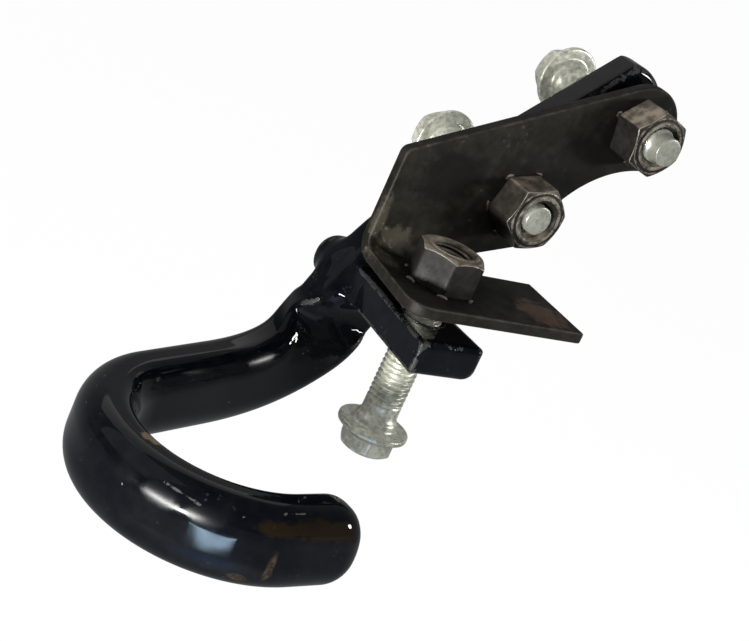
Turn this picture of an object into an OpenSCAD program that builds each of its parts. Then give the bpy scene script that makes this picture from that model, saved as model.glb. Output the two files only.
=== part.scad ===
// Tow hook bracket: a forged J hook, a folded plate with three welded nuts and three flange bolts.
// X runs along the frame rail and Z is up. The plate's upright leg lies on the inside of the
// rail's web, in the plane Y = 0, and the shank of the hook lies on the outside of it, at +Y.
// The origin is on the axis of the middle bolt, where that axis meets the rail.

/* [Rail] */
// Wall thickness of the rail that the bracket grips
rail_wall = 7.2; // [6.4:0.2:8]
// Angle of the bolt row and the shank above the rail
row_angle = 44; // [42:1:46]
// Distance between the middle bolt and the rear bolt
row_pitch = 48; // [46:1:50]
// Place of the lower bolt ahead of the middle bolt
lower_bolt_ahead = 34; // [33:0.5:35]
// Place of the lower bolt inboard of the web
lower_bolt_inboard = 24; // [23:0.5:25]
// Depth of the rail's bottom flange below the middle bolt
rail_floor_drop = 28; // [27:0.5:29]

/* [Nut plate] */
// Thickness of the sheet
plate_t = 4; // [3:0.25:4.5]
// Inside radius of the fold
fold_r = 4; // [3:0.5:5]
// Reach of the upright leg ahead of the middle bolt
plate_ahead = 50.2; // [49.6:0.2:52]
// Height of the leg's upper front corner above the middle bolt
plate_shoulder = 9.3; // [8:0.1:11]
// Radius of the leg's upper front corner
shoulder_r = 3; // [2:0.5:5]
// Radius of the leg's round end
plate_tip_r = 15.4; // [15:0.1:16]
// Offset of the round end behind the rear bolt
plate_tip_behind = 1; // [0.6:0.2:1.6]
// Radius of the plate round the middle nut
plate_mid_r = 16.5; // [16:0.5:17]
// Radius of the waist in the lower edge
waist_r = 40; // [36:1:44]
// Steel left between the bolt row and the waist
waist_web = 8.5; // [8:0.25:9.5]
// Width of the bottom flange, measured from the web
flange_reach = 43.2; // [42:0.2:44]
// Reach of the bottom flange behind the middle bolt
flange_behind = 14.6; // [12:0.2:17]
// Slant of the bottom flange's rear edge, forward to its free corner
flange_slant = 1.2; // [0.6:0.2:2]
// Reach of the bottom flange's free corner ahead of the middle bolt
flange_ahead = 55.8; // [54:0.2:57]
// Radius of the bottom flange's free front corner
flange_corner_r = 7; // [5:0.5:8]
// Distance from the middle bolt forward to the end of the fold
fold_end_ahead = 8; // [6:0.5:10]
// Setback of the flange's free rear edge from the web
free_edge_back = 10; // [9:0.5:12]

/* [Nuts] */
// Width of a nut across its flats
nut_af = 20; // [19:0.5:21]
// Height of a nut
nut_h = 12.5; // [12:0.25:13]
// Chamfer on the nut's outer corners
nut_chamfer = 1.1; // [0.6:0.1:1.4]
// Running clearance between a bolt and a threaded or drilled hole
thread_gap = 0.1; // [0.05:0.05:0.2]
// Turn of the rear nut about its bolt
rear_nut_turn = 41; // [0:1:59]
// Turn of the middle nut about its bolt
mid_nut_turn = 14; // [0:1:59]
// Turn of the lower nut about its bolt
lower_nut_turn = 2; // [0:1:59]

/* [Bolts] */
// Thread diameter
bolt_d = 12; // [12:0.05:12.1]
// Length of a bolt under its head
bolt_len = 57.5; // [56:0.5:60]
// Diameter of the flange on the head
head_flange_d = 23.5; // [22:0.5:25]
// Thickness of the flange at its rim
head_flange_rim = 2; // [1.5:0.25:2.5]
// Height of the cone between the rim and the hexagon
head_cone_h = 1.6; // [1:0.2:2]
// Width of the hexagon across its flats
head_af = 16; // [15.5:0.25:17]
// Height of the whole head
head_h = 9; // [8:0.25:10]
// Diameter of the collar under the flange
collar_d = 14.6; // [13.5:0.1:15.5]
// Length of the collar
collar_h = 3; // [2:0.25:4]
// Diameter of the dog point
dog_d = 9.8; // [9.4:0.1:10]
// Length of the dog point
dog_len = 4; // [3:0.25:5]
// Length by which the rear bolt stands out of its nut
rear_bolt_proud = 4.5; // [3:0.25:6]
// Length by which the lower bolt ends below the top of its nut
lower_bolt_shy = 5.5; // [4:0.25:6.5]

/* [Hook] */
// Thickness of the flattened shank
shank_t = 12; // [11:0.25:13]
// Height of the bar
bar_h = 27; // [26:0.5:28]
// Thickness of the bar in the bend of the J
bend_t = 17.8; // [17:0.2:19]
// Reach of the bend's rounding across the bar's thickness
bend_round_t = 7.5; // [6:0.5:8]
// Reach of the bend's rounding along the bar's height
bend_round_h = 10; // [8:0.5:12]
// Radius of the bar's edges on the shank
shank_edge_r = 2.5; // [2:0.25:3]
// Radius of the shank's end round the rear bolt
shank_end_r = 18; // [17:0.5:19]
// Diameter of the bolt holes in the hook
hook_hole_d = 12.9; // [12.6:0.1:13.2]
// Drop of the J's centre below the middle bolt
bend_drop = 84.8; // [83:0.1:86]
// Dip of the J towards its front
bend_dip = 2.2; // [1:0.2:3]
// Lean of the J, down towards its tip leg
bend_lean = 1; // [0.4:0.2:2]
// Radius of the J along its centre line
bend_r = 38; // [37:0.5:39]
// Place of the J's centre ahead of the middle bolt
bend_ahead = 94.6; // [93:0.2:96]
// Place of the J's centre inboard of the web
bend_inboard = 40; // [38:0.5:42]
// Direction of the tip leg, from the tip into the bend
tip_dir = 185; // [182:1:188]
// Direction of the throat leg, out of the bend
throat_dir = 20; // [18:1:23]
// Length of the straight tip leg
tip_len = 15.8; // [14:0.2:17]
// Length of the straight throat leg
throat_len = 30.5; // [28:0.5:32]
// Steepness of the shank where it leaves the throat
rise_dir = 69.5; // [67:0.5:72]
// Place ahead of the middle bolt where the shank leaves the throat
rise_ahead = 37.8; // [36.8:0.2:39]
// Depth below the middle bolt where the shank leaves the throat
rise_drop = 55; // [53:0.5:57]

/* [Lug] */
// Thickness of the cross lug
lug_t = 11.6; // [11:0.2:12.4]
// Width of the cross lug
lug_w = 26; // [24:0.5:27]
// Taper of the lug's front side, from its end to the shank
lug_taper = 4.5; // [3:0.5:6]
// Reach of the lug inboard of the lower bolt
lug_reach = 19; // [17:0.5:21]
// Radius of the lug's corners
lug_corner_r = 1.5; // [1:0.25:3]
// Radius of the lug's lower rear edge
lug_edge_r = 4.5; // [3:0.5:6]
// Radius of the fillet between the lug's underside and the shank
lug_root_r = 8; // [6:0.5:10]
// Length of the boss that stands out behind the shank
boss_len = 6; // [4:0.5:8]
// Width of the boss
boss_w = 24; // [22:0.5:25]
// Height of the boss
boss_h = 15; // [14:0.5:16]
// Height of the boss above the top of the lug
boss_rise = 2.4; // [1.5:0.1:3]
// Radius of the boss's corners
boss_r = 7; // [5:0.5:7]

/* [Hidden] */

$fn = 64;
// Overrun of every cut
over = 1;

// Places of the three bolts
rear_x = row_pitch * cos(row_angle);
rear_z = row_pitch * sin(row_angle);
lower_x = -lower_bolt_ahead;
lower_y = -lower_bolt_inboard;
plate_seat_z = plate_t - rail_floor_drop;
nut_top_y = -plate_t - nut_h;

// Middle plane and ends of the shank
shank_y = rail_wall + shank_t / 2;
lug_top = -rail_floor_drop - rail_wall;

// Facets of the forged bar
ring_points = 24;
tip_steps = 3;
bend_steps = 22;
throat_steps = 3;
rise_steps = 14;
shank_steps = 12;
end_steps = 5;
cap_steps = 4;
// Depth of the rounding on the tip of the hook
cap_depth = 6;
// Lengths of the curve's handles at the throat and on the shank
throat_handle = 39.5;
rise_handle = 10.5;
// Part of the blend between the two bar sections that lies before the rise
early_blend_share = 0.15;
// Part of its size that the bar loses at the face of the tip
cap_narrow_share = 0.4;
// Part of the way to the rear bolt at which the curve's handle ends
row_handle_share = 0.33;
// Last angle of the sweep round the shank's end
end_sweep = 88;
// Flat left between two rounded edges of the bar at its thinnest
ring_flat = 0.1;
// Part of the row at which the waist is cut, counted from the middle bolt
waist_place_share = 0.46;
// Facets of the waist
waist_points = 128;
// Cut on the plate's corners, as a part of its thickness
corner_share = 0.5;
// Small edges of a bolt, as a part of its flange's rim
bolt_edge_share = 0.25;

// Curve helpers
function heading(a) =
    [cos(a) * cos(bend_dip), sin(a) * cos(bend_lean), cos(a) * sin(bend_dip) + sin(a) * sin(bend_lean)];
function slope(a) = [cos(a), 0, sin(a)];
function mix(a, b, k) = a * (1 - k) + b * k;
function smooth(k) = k * k * (3 - 2 * k);
function unit(v) = v / norm(v);
function bezier(a, b, c, d, k) =
    mix(mix(mix(a, b, k), mix(b, c, k), k), mix(mix(b, c, k), mix(c, d, k), k), k);

// Main points of the bar's centre line
bend_centre = [-bend_ahead, -bend_inboard, -bend_drop];
bend_start = bend_centre + bend_r * heading(tip_dir + 90);
bend_end = bend_centre + bend_r * heading(throat_dir + 90);
tip_point = bend_start - tip_len * heading(tip_dir);
throat_point = bend_end + throat_len * heading(throat_dir);
rise_point = [-rise_ahead, shank_y, -rise_drop];
row_point = [rear_x, shank_y, rear_z];
row_handle = norm(row_point - rise_point) * row_handle_share;

// The centre line, station by station: [point, blend from bend section to shank section, end scale]
function bar_stations() = concat(
    [for (i = [cap_steps : -1 : 1])
        let (k = 1 - i / cap_steps)
        [tip_point - cap_depth * (1 - k) * heading(tip_dir), 0, 1 - cap_narrow_share * (1 - k) * (1 - k)]],
    [for (i = [0 : tip_steps - 1])
        [mix(tip_point, bend_start, i / tip_steps), 0, 1]],
    [for (i = [0 : bend_steps])
        [bend_centre + bend_r * heading(mix(tip_dir, throat_dir, i / bend_steps) + 90), 0, 1]],
    [for (i = [1 : throat_steps])
        [mix(bend_end, throat_point, i / throat_steps), early_blend_share * i / throat_steps, 1]],
    [for (i = [1 : rise_steps])
        [bezier(throat_point, throat_point + throat_handle * heading(throat_dir),
                rise_point - rise_handle * slope(rise_dir), rise_point, i / rise_steps),
         mix(early_blend_share, 1, smooth(i / rise_steps)), 1]],
    [for (i = [1 : shank_steps])
        [bezier(rise_point, rise_point + row_handle * slope(rise_dir),
                row_point - row_handle * slope(row_angle), row_point, i / shank_steps), 1, 1]],
    [for (i = [1 : end_steps])
        let (a = shank_end_r * sin(end_sweep * i / end_steps))
        [row_point + a * slope(row_angle), 1, min(1, 2 * sqrt(pow(shank_end_r, 2) - a * a) / bar_h)]]
);

// One ring of the bar: a rectangle with round edges, across the direction of travel
function bar_ring(at, dir, blend, scale_end) =
    let (
        side = unit(cross(dir, [0, 0, 1])),
        rise = cross(side, dir),
        w = mix(bend_t, shank_t, blend) * (blend < 1 ? scale_end : 1),
        h = bar_h * scale_end,
        rw = min(mix(bend_round_t, shank_edge_r, blend) * scale_end, (w - ring_flat) / 2),
        rh = min(mix(bend_round_h, shank_edge_r, blend) * scale_end, (h - ring_flat) / 2)
    )
    [for (i = [0 : ring_points - 1])
        let (
            a = (i + 0.5) * 360 / ring_points,
            sx = cos(a) >= 0 ? 1 : -1,
            sy = sin(a) >= 0 ? 1 : -1
        )
        at + side * (sx * (w / 2 - rw) + rw * cos(a)) + rise * (sy * (h / 2 - rh) + rh * sin(a))];

// Skins rings into one closed solid
module loft(rings) {
    n = len(rings[0]);
    m = len(rings);
    polyhedron(
        points = [for (ring = rings) each ring],
        faces = concat(
            [[for (i = [n - 1 : -1 : 0]) i]],
            [for (j = [0 : m - 2]) for (i = [0 : n - 1])
                let (k = (i + 1) % n)
                [j * n + i, j * n + k, (j + 1) * n + k, (j + 1) * n + i]],
            [[for (i = [0 : n - 1]) (m - 1) * n + i]]
        ),
        convexity = 6
    );
}

module forged_bar() {
    s = bar_stations();
    last = len(s) - 1;
    loft([for (i = [0 : last])
        bar_ring(s[i][0], unit(s[min(i + 1, last)][0] - s[max(i - 1, 0)][0]), s[i][1], s[i][2])]);
}

// Cross lug under the rail, seen from above: it narrows from its end towards the shank
module cross_lug() {
    end_y = lower_y - lug_reach;
    root_y = rail_wall + shank_t / 2;
    half = lug_w / 2;
    translate([lower_x, 0, lug_top - lug_t])
        difference() {
            linear_extrude(lug_t)
                union() {
                    for (side = [-1, 1])
                        translate([side * (half - lug_corner_r), end_y + lug_corner_r])
                            circle(lug_corner_r);
                    polygon([
                        [-half, end_y + lug_corner_r],
                        [lug_corner_r - half, end_y],
                        [half - lug_corner_r, end_y],
                        [half, end_y + lug_corner_r],
                        [half, root_y],
                        [lug_taper - half, root_y],
                        [lug_taper - half, 0]
                    ]);
                }
            translate([half - lug_edge_r, rail_wall, lug_edge_r])
                rotate([90, 0, 0])
                    linear_extrude(rail_wall - end_y + over)
                        difference() {
                            translate([0, -lug_edge_r - over])
                                square([lug_edge_r + over, lug_edge_r + over]);
                            circle(lug_edge_r);
                        }
        }
}

// Fillet between the lug's underside and the near face of the shank
module lug_root() {
    root_w = lug_w - 2 * lug_taper;
    translate([lower_x - root_w / 2, rail_wall, lug_top - lug_t])
        rotate([90, 0, 90])
            linear_extrude(root_w)
                difference() {
                    translate([-lug_root_r, -lug_root_r])
                        square(lug_root_r + over);
                    translate([-lug_root_r, -lug_root_r])
                        circle(lug_root_r);
                }
}

// Round boss behind the shank, left where the lug was forged on
module lug_boss() {
    core_w = boss_w - 2 * boss_r;
    core_h = boss_h - 2 * boss_r;
    translate([lower_x - core_w / 2, rail_wall + shank_t + boss_len, lug_top + boss_rise - boss_h + boss_r])
        rotate([90, 0, 0])
            linear_extrude(boss_len + shank_t / 2)
                offset(r = boss_r)
                    square([core_w, core_h]);
}

// A hole along the row's bolts, drilled from the side away from the rail
module shank_hole(x, z) {
    translate([x, rail_wall - over, z])
        rotate([-90, 0, 0])
            cylinder(h = shank_t + 2 * over, d = hook_hole_d);
}

module hook() {
    color([0.05, 0.055, 0.065])
        difference() {
            union() {
                forged_bar();
                cross_lug();
                lug_root();
                lug_boss();
            }
            shank_hole(rear_x, rear_z);
            shank_hole(0, 0);
            translate([lower_x, lower_y, lug_top - lug_t - over])
                cylinder(h = lug_t + 2 * over, d = hook_hole_d);
        }
}

// Outline of the plate's upright leg, seen from inboard, in X and Z
module leg_outline() {
    fold_top = plate_seat_z + fold_r;
    tip_at = [rear_x + plate_tip_behind, rear_z];
    to_tip = tip_at - [-plate_ahead, plate_shoulder];
    edge_dir = asin(plate_tip_r / norm(to_tip)) + atan2(to_tip[1], to_tip[0]);
    top_touch = tip_at + plate_tip_r * [-sin(edge_dir), cos(edge_dir)];
    corner_len = shoulder_r * tan((90 - edge_dir) / 2);
    corner_end = [-plate_ahead, plate_shoulder] + corner_len * [cos(edge_dir), sin(edge_dir)];
    mid_low = [plate_mid_r * sin(row_angle), -plate_mid_r * cos(row_angle)];
    tip_low = tip_at + plate_tip_r * [sin(row_angle), -cos(row_angle)];
    waist_at = [cos(row_angle), sin(row_angle)] * row_pitch * waist_place_share
        + (waist_r + waist_web) * [sin(row_angle), -cos(row_angle)];
    difference() {
        union() {
            translate(tip_at)
                circle(plate_tip_r);
            circle(plate_mid_r);
            translate([shoulder_r - plate_ahead, plate_shoulder - corner_len])
                circle(shoulder_r);
            polygon([
                [-plate_ahead, fold_top],
                [-plate_ahead, plate_shoulder - corner_len],
                corner_end,
                top_touch,
                tip_low,
                mid_low,
                [plate_mid_r * sin(row_angle / 2), -plate_mid_r * cos(row_angle / 2)],
                [-fold_end_ahead, fold_top]
            ]);
        }
        translate(waist_at)
            circle(waist_r, $fn = waist_points);
    }
}

// Outline of the bottom flange, seen from above, in X and Y
module flange_outline() {
    fold_y = -plate_t - fold_r;
    corner = plate_t * corner_share;
    lean = atan2(flange_ahead - plate_ahead, flange_reach + fold_y);
    free_len = flange_corner_r * tan((90 + lean) / 2);
    round_at = [free_len - flange_ahead, flange_corner_r - flange_reach];
    union() {
        translate(round_at)
            circle(flange_corner_r);
        polygon([
            [-plate_ahead, fold_y],
            [-fold_end_ahead, fold_y],
            [corner - fold_end_ahead, -free_edge_back],
            [flange_behind, -free_edge_back],
            [flange_behind - flange_slant, -flange_reach],
            [round_at[0], -flange_reach],
            round_at + flange_corner_r * [-cos(lean), sin(lean)]
        ]);
    }
}

// Quarter ring that joins the leg and the flange
module plate_fold() {
    fold_len = plate_ahead - fold_end_ahead;
    translate([-plate_ahead, -plate_t - fold_r, plate_seat_z + fold_r])
        rotate([90, 0, 90])
            linear_extrude(fold_len)
                intersection() {
                    difference() {
                        circle(fold_r + plate_t);
                        circle(fold_r);
                    }
                    translate([0, -fold_r - plate_t])
                        square(fold_r + plate_t);
                }
}

module nut_plate() {
    color([0.16, 0.145, 0.125])
        difference() {
            union() {
                rotate([90, 0, 0])
                    linear_extrude(plate_t)
                        leg_outline();
                translate([0, 0, plate_seat_z - plate_t])
                    linear_extrude(plate_t)
                        flange_outline();
                plate_fold();
            }
            for (at = [[0, 0], [rear_x, rear_z]])
                translate([at[0], over, at[1]])
                    rotate([90, 0, 0])
                        cylinder(h = plate_t + 2 * over, d = bolt_d + 2 * thread_gap);
            translate([lower_x, lower_y, plate_seat_z - plate_t - over])
                cylinder(h = plate_t + 2 * over, d = bolt_d + 2 * thread_gap);
        }
}

// Weld nut standing on Z = 0, with chamfered corners and a countersunk thread
module weld_nut(turn) {
    corner_r = nut_af / sqrt(3);
    bore_r = bolt_d / 2 + thread_gap;
    color([0.2, 0.19, 0.175])
        difference() {
            intersection() {
                rotate(turn)
                    cylinder(h = nut_h, r = corner_r, $fn = 6);
                union() {
                    cylinder(h = nut_h - nut_chamfer, r = corner_r + over);
                    translate([0, 0, nut_h - nut_chamfer])
                        cylinder(h = nut_chamfer, r1 = corner_r + nut_chamfer, r2 = corner_r - nut_chamfer);
                }
            }
            translate([0, 0, -over])
                cylinder(h = nut_h + 2 * over, r = bore_r);
            translate([0, 0, nut_h - nut_chamfer])
                cylinder(h = nut_chamfer + thread_gap, r1 = bore_r, r2 = bore_r + nut_chamfer);
        }
}

module rear_weld_nut() {
    translate([rear_x, -plate_t, rear_z])
        rotate([90, 0, 0])
            weld_nut(rear_nut_turn);
}

module middle_weld_nut() {
    translate([0, -plate_t, 0])
        rotate([90, 0, 0])
            weld_nut(mid_nut_turn);
}

module lower_weld_nut() {
    translate([lower_x, lower_y, plate_seat_z])
        weld_nut(lower_nut_turn);
}

// Flange bolt along Z: its bearing face is at Z = 0, its tip at +Z
module flange_bolt() {
    hex_r = head_af / sqrt(3);
    rim_r = head_flange_d / 2;
    edge = head_flange_rim * bolt_edge_share;
    taper = (bolt_d - dog_d) / 2;
    cap = head_h - head_flange_rim - head_cone_h;
    color([0.66, 0.67, 0.62])
        union() {
            rotate_extrude()
                polygon([
                    [0, -head_flange_rim - head_cone_h],
                    [head_af / 2 + edge, -head_flange_rim - head_cone_h],
                    [rim_r - edge, -head_flange_rim],
                    [rim_r, -head_flange_rim + edge],
                    [rim_r, -edge],
                    [rim_r - edge, 0],
                    [collar_d / 2, 0],
                    [collar_d / 2, collar_h - edge],
                    [collar_d / 2 - edge, collar_h],
                    [bolt_d / 2, collar_h],
                    [bolt_d / 2, bolt_len - dog_len - taper],
                    [dog_d / 2, bolt_len - dog_len],
                    [dog_d / 2, bolt_len - edge],
                    [dog_d / 2 - edge, bolt_len],
                    [0, bolt_len]
                ]);
            intersection() {
                translate([0, 0, -head_h])
                    cylinder(h = cap + head_cone_h, r = hex_r, $fn = 6);
                translate([0, 0, -head_h])
                    cylinder(h = cap + head_cone_h, r1 = head_af / 2, r2 = head_af / 2 + cap + head_cone_h);
            }
        }
}

// Bolt of the row, which enters from outboard and points inboard
module row_bolt(x, z, tip_y) {
    translate([x, tip_y + bolt_len, z])
        rotate([90, 0, 0])
            flange_bolt();
}

module rear_flange_bolt() {
    row_bolt(rear_x, rear_z, nut_top_y - rear_bolt_proud);
}

module middle_flange_bolt() {
    row_bolt(0, 0, nut_top_y);
}

module lower_flange_bolt() {
    translate([lower_x, lower_y, plate_seat_z + nut_h - lower_bolt_shy - bolt_len])
        flange_bolt();
}

hook();
nut_plate();
rear_weld_nut();
middle_weld_nut();
lower_weld_nut();
rear_flange_bolt();
middle_flange_bolt();
lower_flange_bolt();
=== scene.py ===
"""Looks of a forged tow hook bracket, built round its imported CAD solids.

The builders work in millimetres, in the frame of the CAD part: X back along the rail, Y outboard
from the plate to the bolt heads, Z up. Meshes are turned into metres when they are added. Lamps,
the camera and the sizes inside shaders are in metres.
"""

import logging
import math
from dataclasses import dataclass, field
from enum import Enum
from typing import ClassVar, Sequence, Union

import bpy
import numpy as np
from mathutils import Matrix, Vector


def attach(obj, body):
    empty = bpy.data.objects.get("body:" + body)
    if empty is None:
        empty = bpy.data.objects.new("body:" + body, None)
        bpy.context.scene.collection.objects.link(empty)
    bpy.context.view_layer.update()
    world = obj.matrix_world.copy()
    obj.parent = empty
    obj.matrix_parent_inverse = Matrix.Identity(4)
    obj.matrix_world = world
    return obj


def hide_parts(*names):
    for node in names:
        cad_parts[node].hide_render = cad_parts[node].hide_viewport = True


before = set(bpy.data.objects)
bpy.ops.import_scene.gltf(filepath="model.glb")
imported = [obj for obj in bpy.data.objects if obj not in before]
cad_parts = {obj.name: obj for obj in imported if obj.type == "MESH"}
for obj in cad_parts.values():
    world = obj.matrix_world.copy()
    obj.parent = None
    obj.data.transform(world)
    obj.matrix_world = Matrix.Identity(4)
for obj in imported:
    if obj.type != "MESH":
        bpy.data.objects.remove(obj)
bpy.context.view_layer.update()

log = logging.getLogger("tow_hook_bracket")

MM = 0.001
BODY = "root"

# Distance from a cut, for points that the cut can't reach.
NO_CUT = -1e3

# Least values that keep a division or a rounding down from failing.
TINY = 1e-12
SMALL = 1e-6

# Shares of edge wear that the rows of nuts and bolts carry.
TOUCHED, RUBBED, DULLED, WORN = 0.1, 0.3, 0.5, 0.8

Colour = tuple[float, float, float]
Point = tuple[float, float, float]
Numbers = Union[np.ndarray, float]
Socket = bpy.types.NodeSocket
Feed = Union[bpy.types.NodeSocket, float, Sequence[float]]


class Slot(Enum):
    """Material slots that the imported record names."""

    HOOK = "hook_paint"
    PLATE = "plate_steel"
    NUT = "nut_steel"
    BOLT = "bolt_zinc"


class Facing(Enum):
    """Direction in which a nut or a bolt points."""

    INBOARD = "inboard"
    UP = "up"


# ------------------------------------------------------------------ shared arithmetic


def unit(v: np.ndarray) -> np.ndarray:
    """Returns v, or each row of v, at length one."""
    return v / np.maximum(np.linalg.norm(v, axis=-1, keepdims=True), TINY)


def smooth_step(t: Numbers) -> Numbers:
    """Returns the soft 0 to 1 step of t."""
    t = np.clip(t, 0.0, 1.0)
    return t * t * (3.0 - 2.0 * t)


def blend_out(a: np.ndarray, b: np.ndarray, reach: Numbers) -> np.ndarray:
    """Joins two distance fields with a fillet.

    Args:
        a: First field.
        b: Second field.
        reach: Width over which the fillet runs, in millimetres.

    Returns:
        The field of the joined solid.
    """
    h = np.clip(reach - np.abs(a - b), 0.0, None) / reach
    return np.minimum(a, b) - h * h * reach / 4.0


def trim(a: np.ndarray, b: np.ndarray, reach: float) -> np.ndarray:
    """Keeps what lies inside both fields, with the edge between them rounded.

    Args:
        a: First field.
        b: Second field.
        reach: Width of the rounding, in millimetres.

    Returns:
        The field of the common solid.
    """
    h = np.clip(reach - np.abs(a - b), 0.0, None) / reach
    return np.maximum(a, b) + h * h * reach / 4.0


def drilled(
    body: np.ndarray,
    r: float,
    edge: float,
    holes: Sequence[tuple[np.ndarray, np.ndarray, np.ndarray]],
) -> np.ndarray:
    """Drills round holes of one size.

    Args:
        body: Field of the solid.
        r: Radius of the holes, in millimetres.
        edge: Width of the rounding at their rims.
        holes: For each hole, the points that it can reach and their two distances from its axis.

    Returns:
        The field of the drilled solid.
    """
    for reached, across, along in holes:
        body = trim(body, np.where(reached, r - np.hypot(across, along), NO_CUT), edge)
    return body


def rounded(qx: np.ndarray, qy: np.ndarray, r: Numbers) -> np.ndarray:
    """Rounds the corner where two faces meet.

    Args:
        qx: Distance beyond one face, negative inside.
        qy: Distance beyond the other.
        r: Radius of the corner.

    Returns:
        The distance from the rounded form.
    """
    x, y = qx + r, qy + r
    outside = np.hypot(np.maximum(x, 0), np.maximum(y, 0))
    return outside + np.minimum(np.maximum(x, y), 0) - r


def beyond_polygon(p: np.ndarray, corners: np.ndarray) -> np.ndarray:
    """Measures flat points against a polygon.

    Args:
        p: Points, one row each.
        corners: The polygon's corners in order.

    Returns:
        The distance of each point from the outline, negative inside.
    """
    gap = np.full(len(p), np.inf)
    inside = np.zeros(len(p), bool)
    for a, b in zip(corners, np.roll(corners, -1, axis=0)):
        edge, away = b - a, p - a
        share = np.clip((away @ edge) / (edge @ edge), 0.0, 1.0)
        gap = np.minimum(gap, ((away - share[:, None] * edge) ** 2).sum(axis=1))
        if a[1] != b[1]:
            crosses = (a[1] > p[:, 1]) != (b[1] > p[:, 1])
            inside ^= crosses & (p[:, 0] < a[0] + edge[0] * (p[:, 1] - a[1]) / edge[1])
    return np.where(inside, -1.0, 1.0) * np.sqrt(gap)


def arc(centre: Sequence[float], r: float, start: float, end: float, count: int) -> np.ndarray:
    """Draws an arc in a plane.

    Args:
        centre: Its middle.
        r: Its radius.
        start: Angle where it starts, in radians.
        end: Angle where it ends.
        count: Number of points on it.

    Returns:
        The points, one row each.
    """
    turn = np.linspace(start, end, count)
    return np.array(centre) + r * np.stack([np.cos(turn), np.sin(turn)], axis=1)


def bezier(
    a: np.ndarray, b: np.ndarray, c: np.ndarray, d: np.ndarray, shares: np.ndarray
) -> np.ndarray:
    """Returns the points of a cubic curve at the given shares of its run."""
    k = shares[:, None]
    return (1 - k) ** 3 * a + 3 * k * (1 - k) ** 2 * b + 3 * k * k * (1 - k) * c + k**3 * d


def heading(degrees: float, dip: float = 0.0, lean: float = 0.0) -> np.ndarray:
    """Turns an angle into a direction.

    Args:
        degrees: Angle from X, seen from above.
        dip: Degrees by which the plane of the angles falls towards -X.
        lean: Degrees by which that plane falls towards -Y.

    Returns:
        The direction.
    """
    a, d, e = math.radians(degrees), math.radians(dip), math.radians(lean)
    return np.array([
        math.cos(a) * math.cos(d),
        math.sin(a) * math.cos(e),
        math.cos(a) * math.sin(d) + math.sin(a) * math.sin(e),
    ])


def slope(degrees: float) -> np.ndarray:
    """Returns the direction at an angle above X, in the plane of the rail's web."""
    a = math.radians(degrees)
    return np.array([math.cos(a), 0.0, math.sin(a)])


# ------------------------------------------------------------------ meshes


def link(name: str, data: bpy.types.ID) -> bpy.types.Object:
    """Adds an object that shows the data.

    Args:
        name: Name of the object.
        data: Its mesh, lamp or camera.

    Returns:
        The object.
    """
    obj = bpy.data.objects.new(name, data)
    bpy.context.scene.collection.objects.link(obj)
    return obj


def add_mesh(
    name: str, points: np.ndarray, faces: Sequence[Sequence[int]]
) -> bpy.types.Object:
    """Adds a mesh given in millimetres.

    Args:
        name: Name of the piece.
        points: Corner points, one row each.
        faces: Corner numbers of each face.

    Returns:
        The new object, shaded smooth.
    """
    mesh = bpy.data.meshes.new(name)
    mesh.from_pydata((np.asarray(points, float) * MM).tolist(), [], [list(f) for f in faces])
    mesh.update()
    mesh.shade_smooth()
    return link(name, mesh)


def grid_faces(rows: int, columns: int) -> list[list[int]]:
    """Numbers the faces between rows of points whose columns close on themselves.

    Args:
        rows: Number of rows.
        columns: Number of points in a row.

    Returns:
        The corner numbers of each face.
    """
    faces = []
    for j in range(rows - 1):
        low, high = j * columns, (j + 1) * columns
        for i in range(columns):
            k = (i + 1) % columns
            faces.append([low + i, low + k, high + k, high + i])
    return faces


def put_attribute(obj: bpy.types.Object, name: str, values: np.ndarray) -> None:
    """Stores one number for each point of a mesh."""
    attribute = obj.data.attributes.new(name, "FLOAT", "POINT")
    attribute.data.foreach_set("value", np.ascontiguousarray(values, np.float32))


def points_of(obj: bpy.types.Object) -> np.ndarray:
    """Reads a mesh's points.

    Args:
        obj: The piece.

    Returns:
        Its points in millimetres, one row each.
    """
    flat = np.zeros(len(obj.data.vertices) * 3, np.float32)
    obj.data.vertices.foreach_get("co", flat)
    return flat.reshape(-1, 3).astype(float) / MM


def set_points(obj: bpy.types.Object, points: np.ndarray) -> None:
    """Moves a mesh's points to places given in millimetres."""
    obj.data.vertices.foreach_set("co", (points * MM).astype(np.float32).ravel())
    obj.data.update()


def finish_piece(
    obj: bpy.types.Object, material: bpy.types.Material, slot: Slot, *nodes: str
) -> bpy.types.Object:
    """Gives a piece its material and its place in the frame.

    Args:
        obj: The piece.
        material: Its finish.
        slot: The record's slot that the finish belongs to; not used.
        *nodes: CAD nodes that the piece stands for.

    Returns:
        The same piece.
    """
    obj.data.materials.clear()
    obj.data.materials.append(material)
    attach(obj, BODY)
    if nodes:
        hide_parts(*nodes)
    stands_for = ", ".join(nodes) or "no node"
    log.info("%s: %d faces, stands for %s", obj.name, len(obj.data.polygons), stands_for)
    return obj


# ------------------------------------------------------------------ layout


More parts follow.
